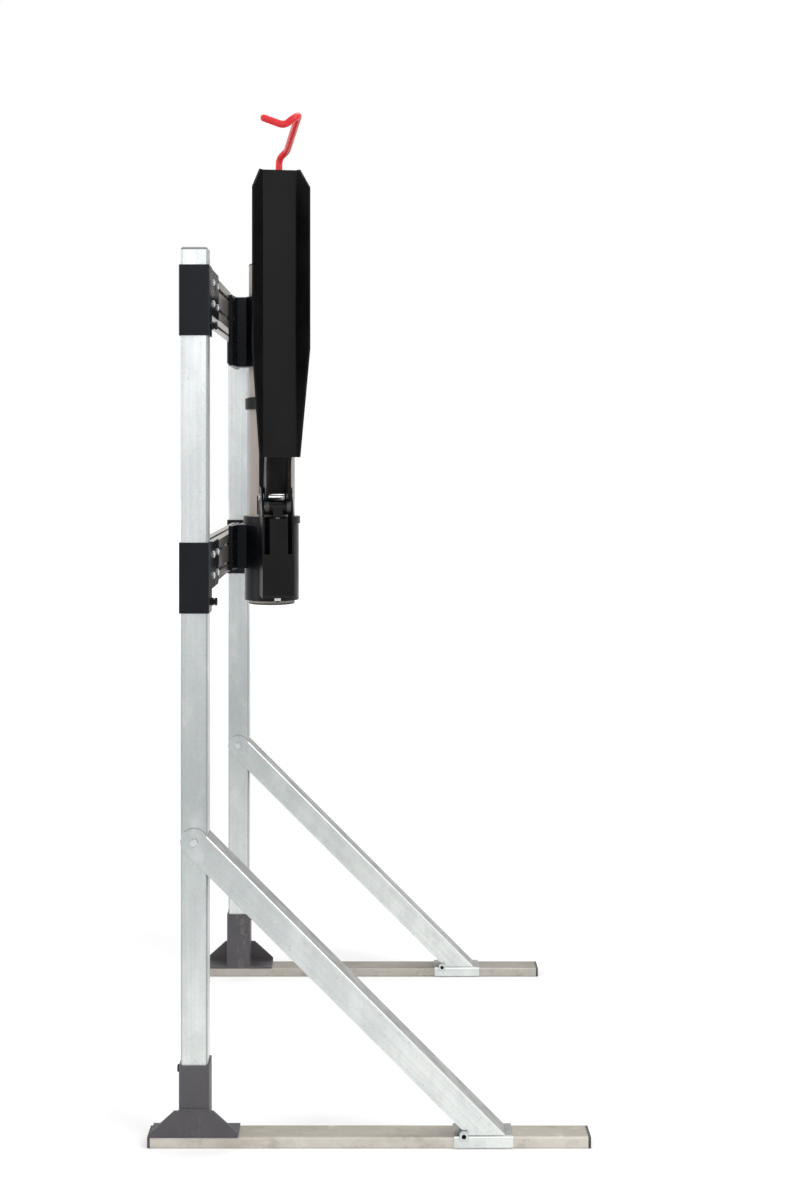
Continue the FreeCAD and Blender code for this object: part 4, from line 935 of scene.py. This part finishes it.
plate_paths = [[on_lift(PLATE_OUT, side, up) for up in PLATE_ENDS]
               for side in (-PLATE_OUTER, -PLATE_INNER, PLATE_INNER, PLATE_OUTER)]
for side in (-PLATE_INNER, PLATE_INNER):
    plate_paths.append(ring(24, lambda a: on_lift(hinge_out + TUBE_RADIUS * math.cos(a), side,
                                                  hinge_up + TUBE_RADIUS * math.sin(a))))
hook_paths = [[on_lift(HOOK_OUT, side, up) for up in HOOK_ENDS] for side in (-HOOK_SIDE, HOOK_SIDE)]
lay_seams("trough_welds", lift_black, plate_paths + hook_paths, "lift_arm", 1.5 * MM)

# %% [markdown]
# ## Floor and light
#
# The studio is white. The floor is a plain pale sheet that keeps the object's shadow. A share of glow is
# added to it only for rays that come from the camera or a mirror, so that it reads as white paper without
# throwing more light on the object. The glow grows with the distance from the middle, where the lamps no
# longer reach, so the paper runs out into white.

# %% Floor
FLOOR_REACH = 40
GLOW = ((1.2, 0.16), (5.0, 0.45), (11.0, 0.72))
WHITE = (1.0, 1.0, 1.0)


def seen_directly(bench):
    """1 for rays from the camera, a reflection or a clear body, 0 for the rest."""
    path = bench.add("ShaderNodeLightPath").outputs
    total = path["Is Camera Ray"]
    for other in ("Is Glossy Ray", "Is Transmission Ray"):
        total = bench.arithmetic("ADD", total, path[other], clamp=True)
    return total


bpy.ops.mesh.primitive_circle_add(vertices=96, radius=FLOOR_REACH, fill_type="NGON", location=(0, 0, 0))
floor = bpy.context.object
floor.name = "studio_floor"
paper = Finish("studio_paper", roughness=0.9, specular=0.1)
away = paper.add("ShaderNodeVectorMath", operation="LENGTH")
paper.fill(away.inputs[0], paper.add("ShaderNodeTexCoord").outputs["Object"])
reach = paper.arithmetic("MULTIPLY", away.outputs["Value"], 1 / FLOOR_REACH)
fade = paper.shades(reach, *((metres / FLOOR_REACH, share) for metres, share in GLOW))
glow = paper.arithmetic("MULTIPLY", seen_directly(paper), fade)
paper.feed(paper.shader, Base_Color=(0.86, 0.86, 0.86), Emission_Color=WHITE, Emission_Strength=glow)
floor.data.materials.append(paper.material)
print("floor reaches", FLOOR_REACH, "m")

# %% [markdown]
# The world does the same as the floor: it is white to the eye and in mirrors, and gentler as a lamp.

# %% World
WORLD_AS_LAMP, WORLD_SEEN = 0.55, 1.0
world = bpy.context.scene.world or bpy.data.worlds.new("studio")
bpy.context.scene.world = world
world.use_nodes = True
sky = Bench(world.node_tree)
level = sky.feed(sky.add("ShaderNodeMapRange"), Value=seen_directly(sky), To_Min=WORLD_AS_LAMP,
                 To_Max=WORLD_SEEN)
sky.feed(world.node_tree.nodes["Background"], Color=WHITE, Strength=level.outputs["Result"])
print("world gives", WORLD_AS_LAMP, "as a lamp and", WORLD_SEEN, "to the eye")

# %% [markdown]
# Four large soft lamps stand in for a studio's boxes: one above and to the right, one to the left, one
# overhead, and one high in front, which brightens the upper half of the posts. Large lamps give soft shadows,
# and long highlights down the tubes.

# %% Lamps


def soft_box(name, place, aim, width, height, watts):
    data = bpy.data.lights.new(name, "AREA")
    data.shape = "RECTANGLE"
    data.size = width
    data.size_y = height
    data.energy = watts
    lamp = bpy.data.objects.new(name, data)
    lamp.location = place
    lamp.rotation_euler = (Vector(aim) - Vector(place)).to_track_quat("-Z", "Y").to_euler()
    bpy.context.scene.collection.objects.link(lamp)
    print(name, "gives", watts, "W")


soft_box("key_box", (2.6, -2.2, 3.6), aim=(0, 0, 0.9), width=2.2, height=2.2, watts=80)
soft_box("side_box", (-3.2, -1.4, 2.0), aim=(0, 0, 0.9), width=1.6, height=2.6, watts=50)
soft_box("top_box", (0.2, 0.6, 4.2), aim=(0, 0, 0.6), width=2.4, height=2.4, watts=45)
soft_box("front_box", (0.4, -4.4, 2.5), aim=(-0.2, 0, 1.4), width=2.6, height=1.6, watts=22)
bpy.context.scene.view_settings.view_transform = "Standard"
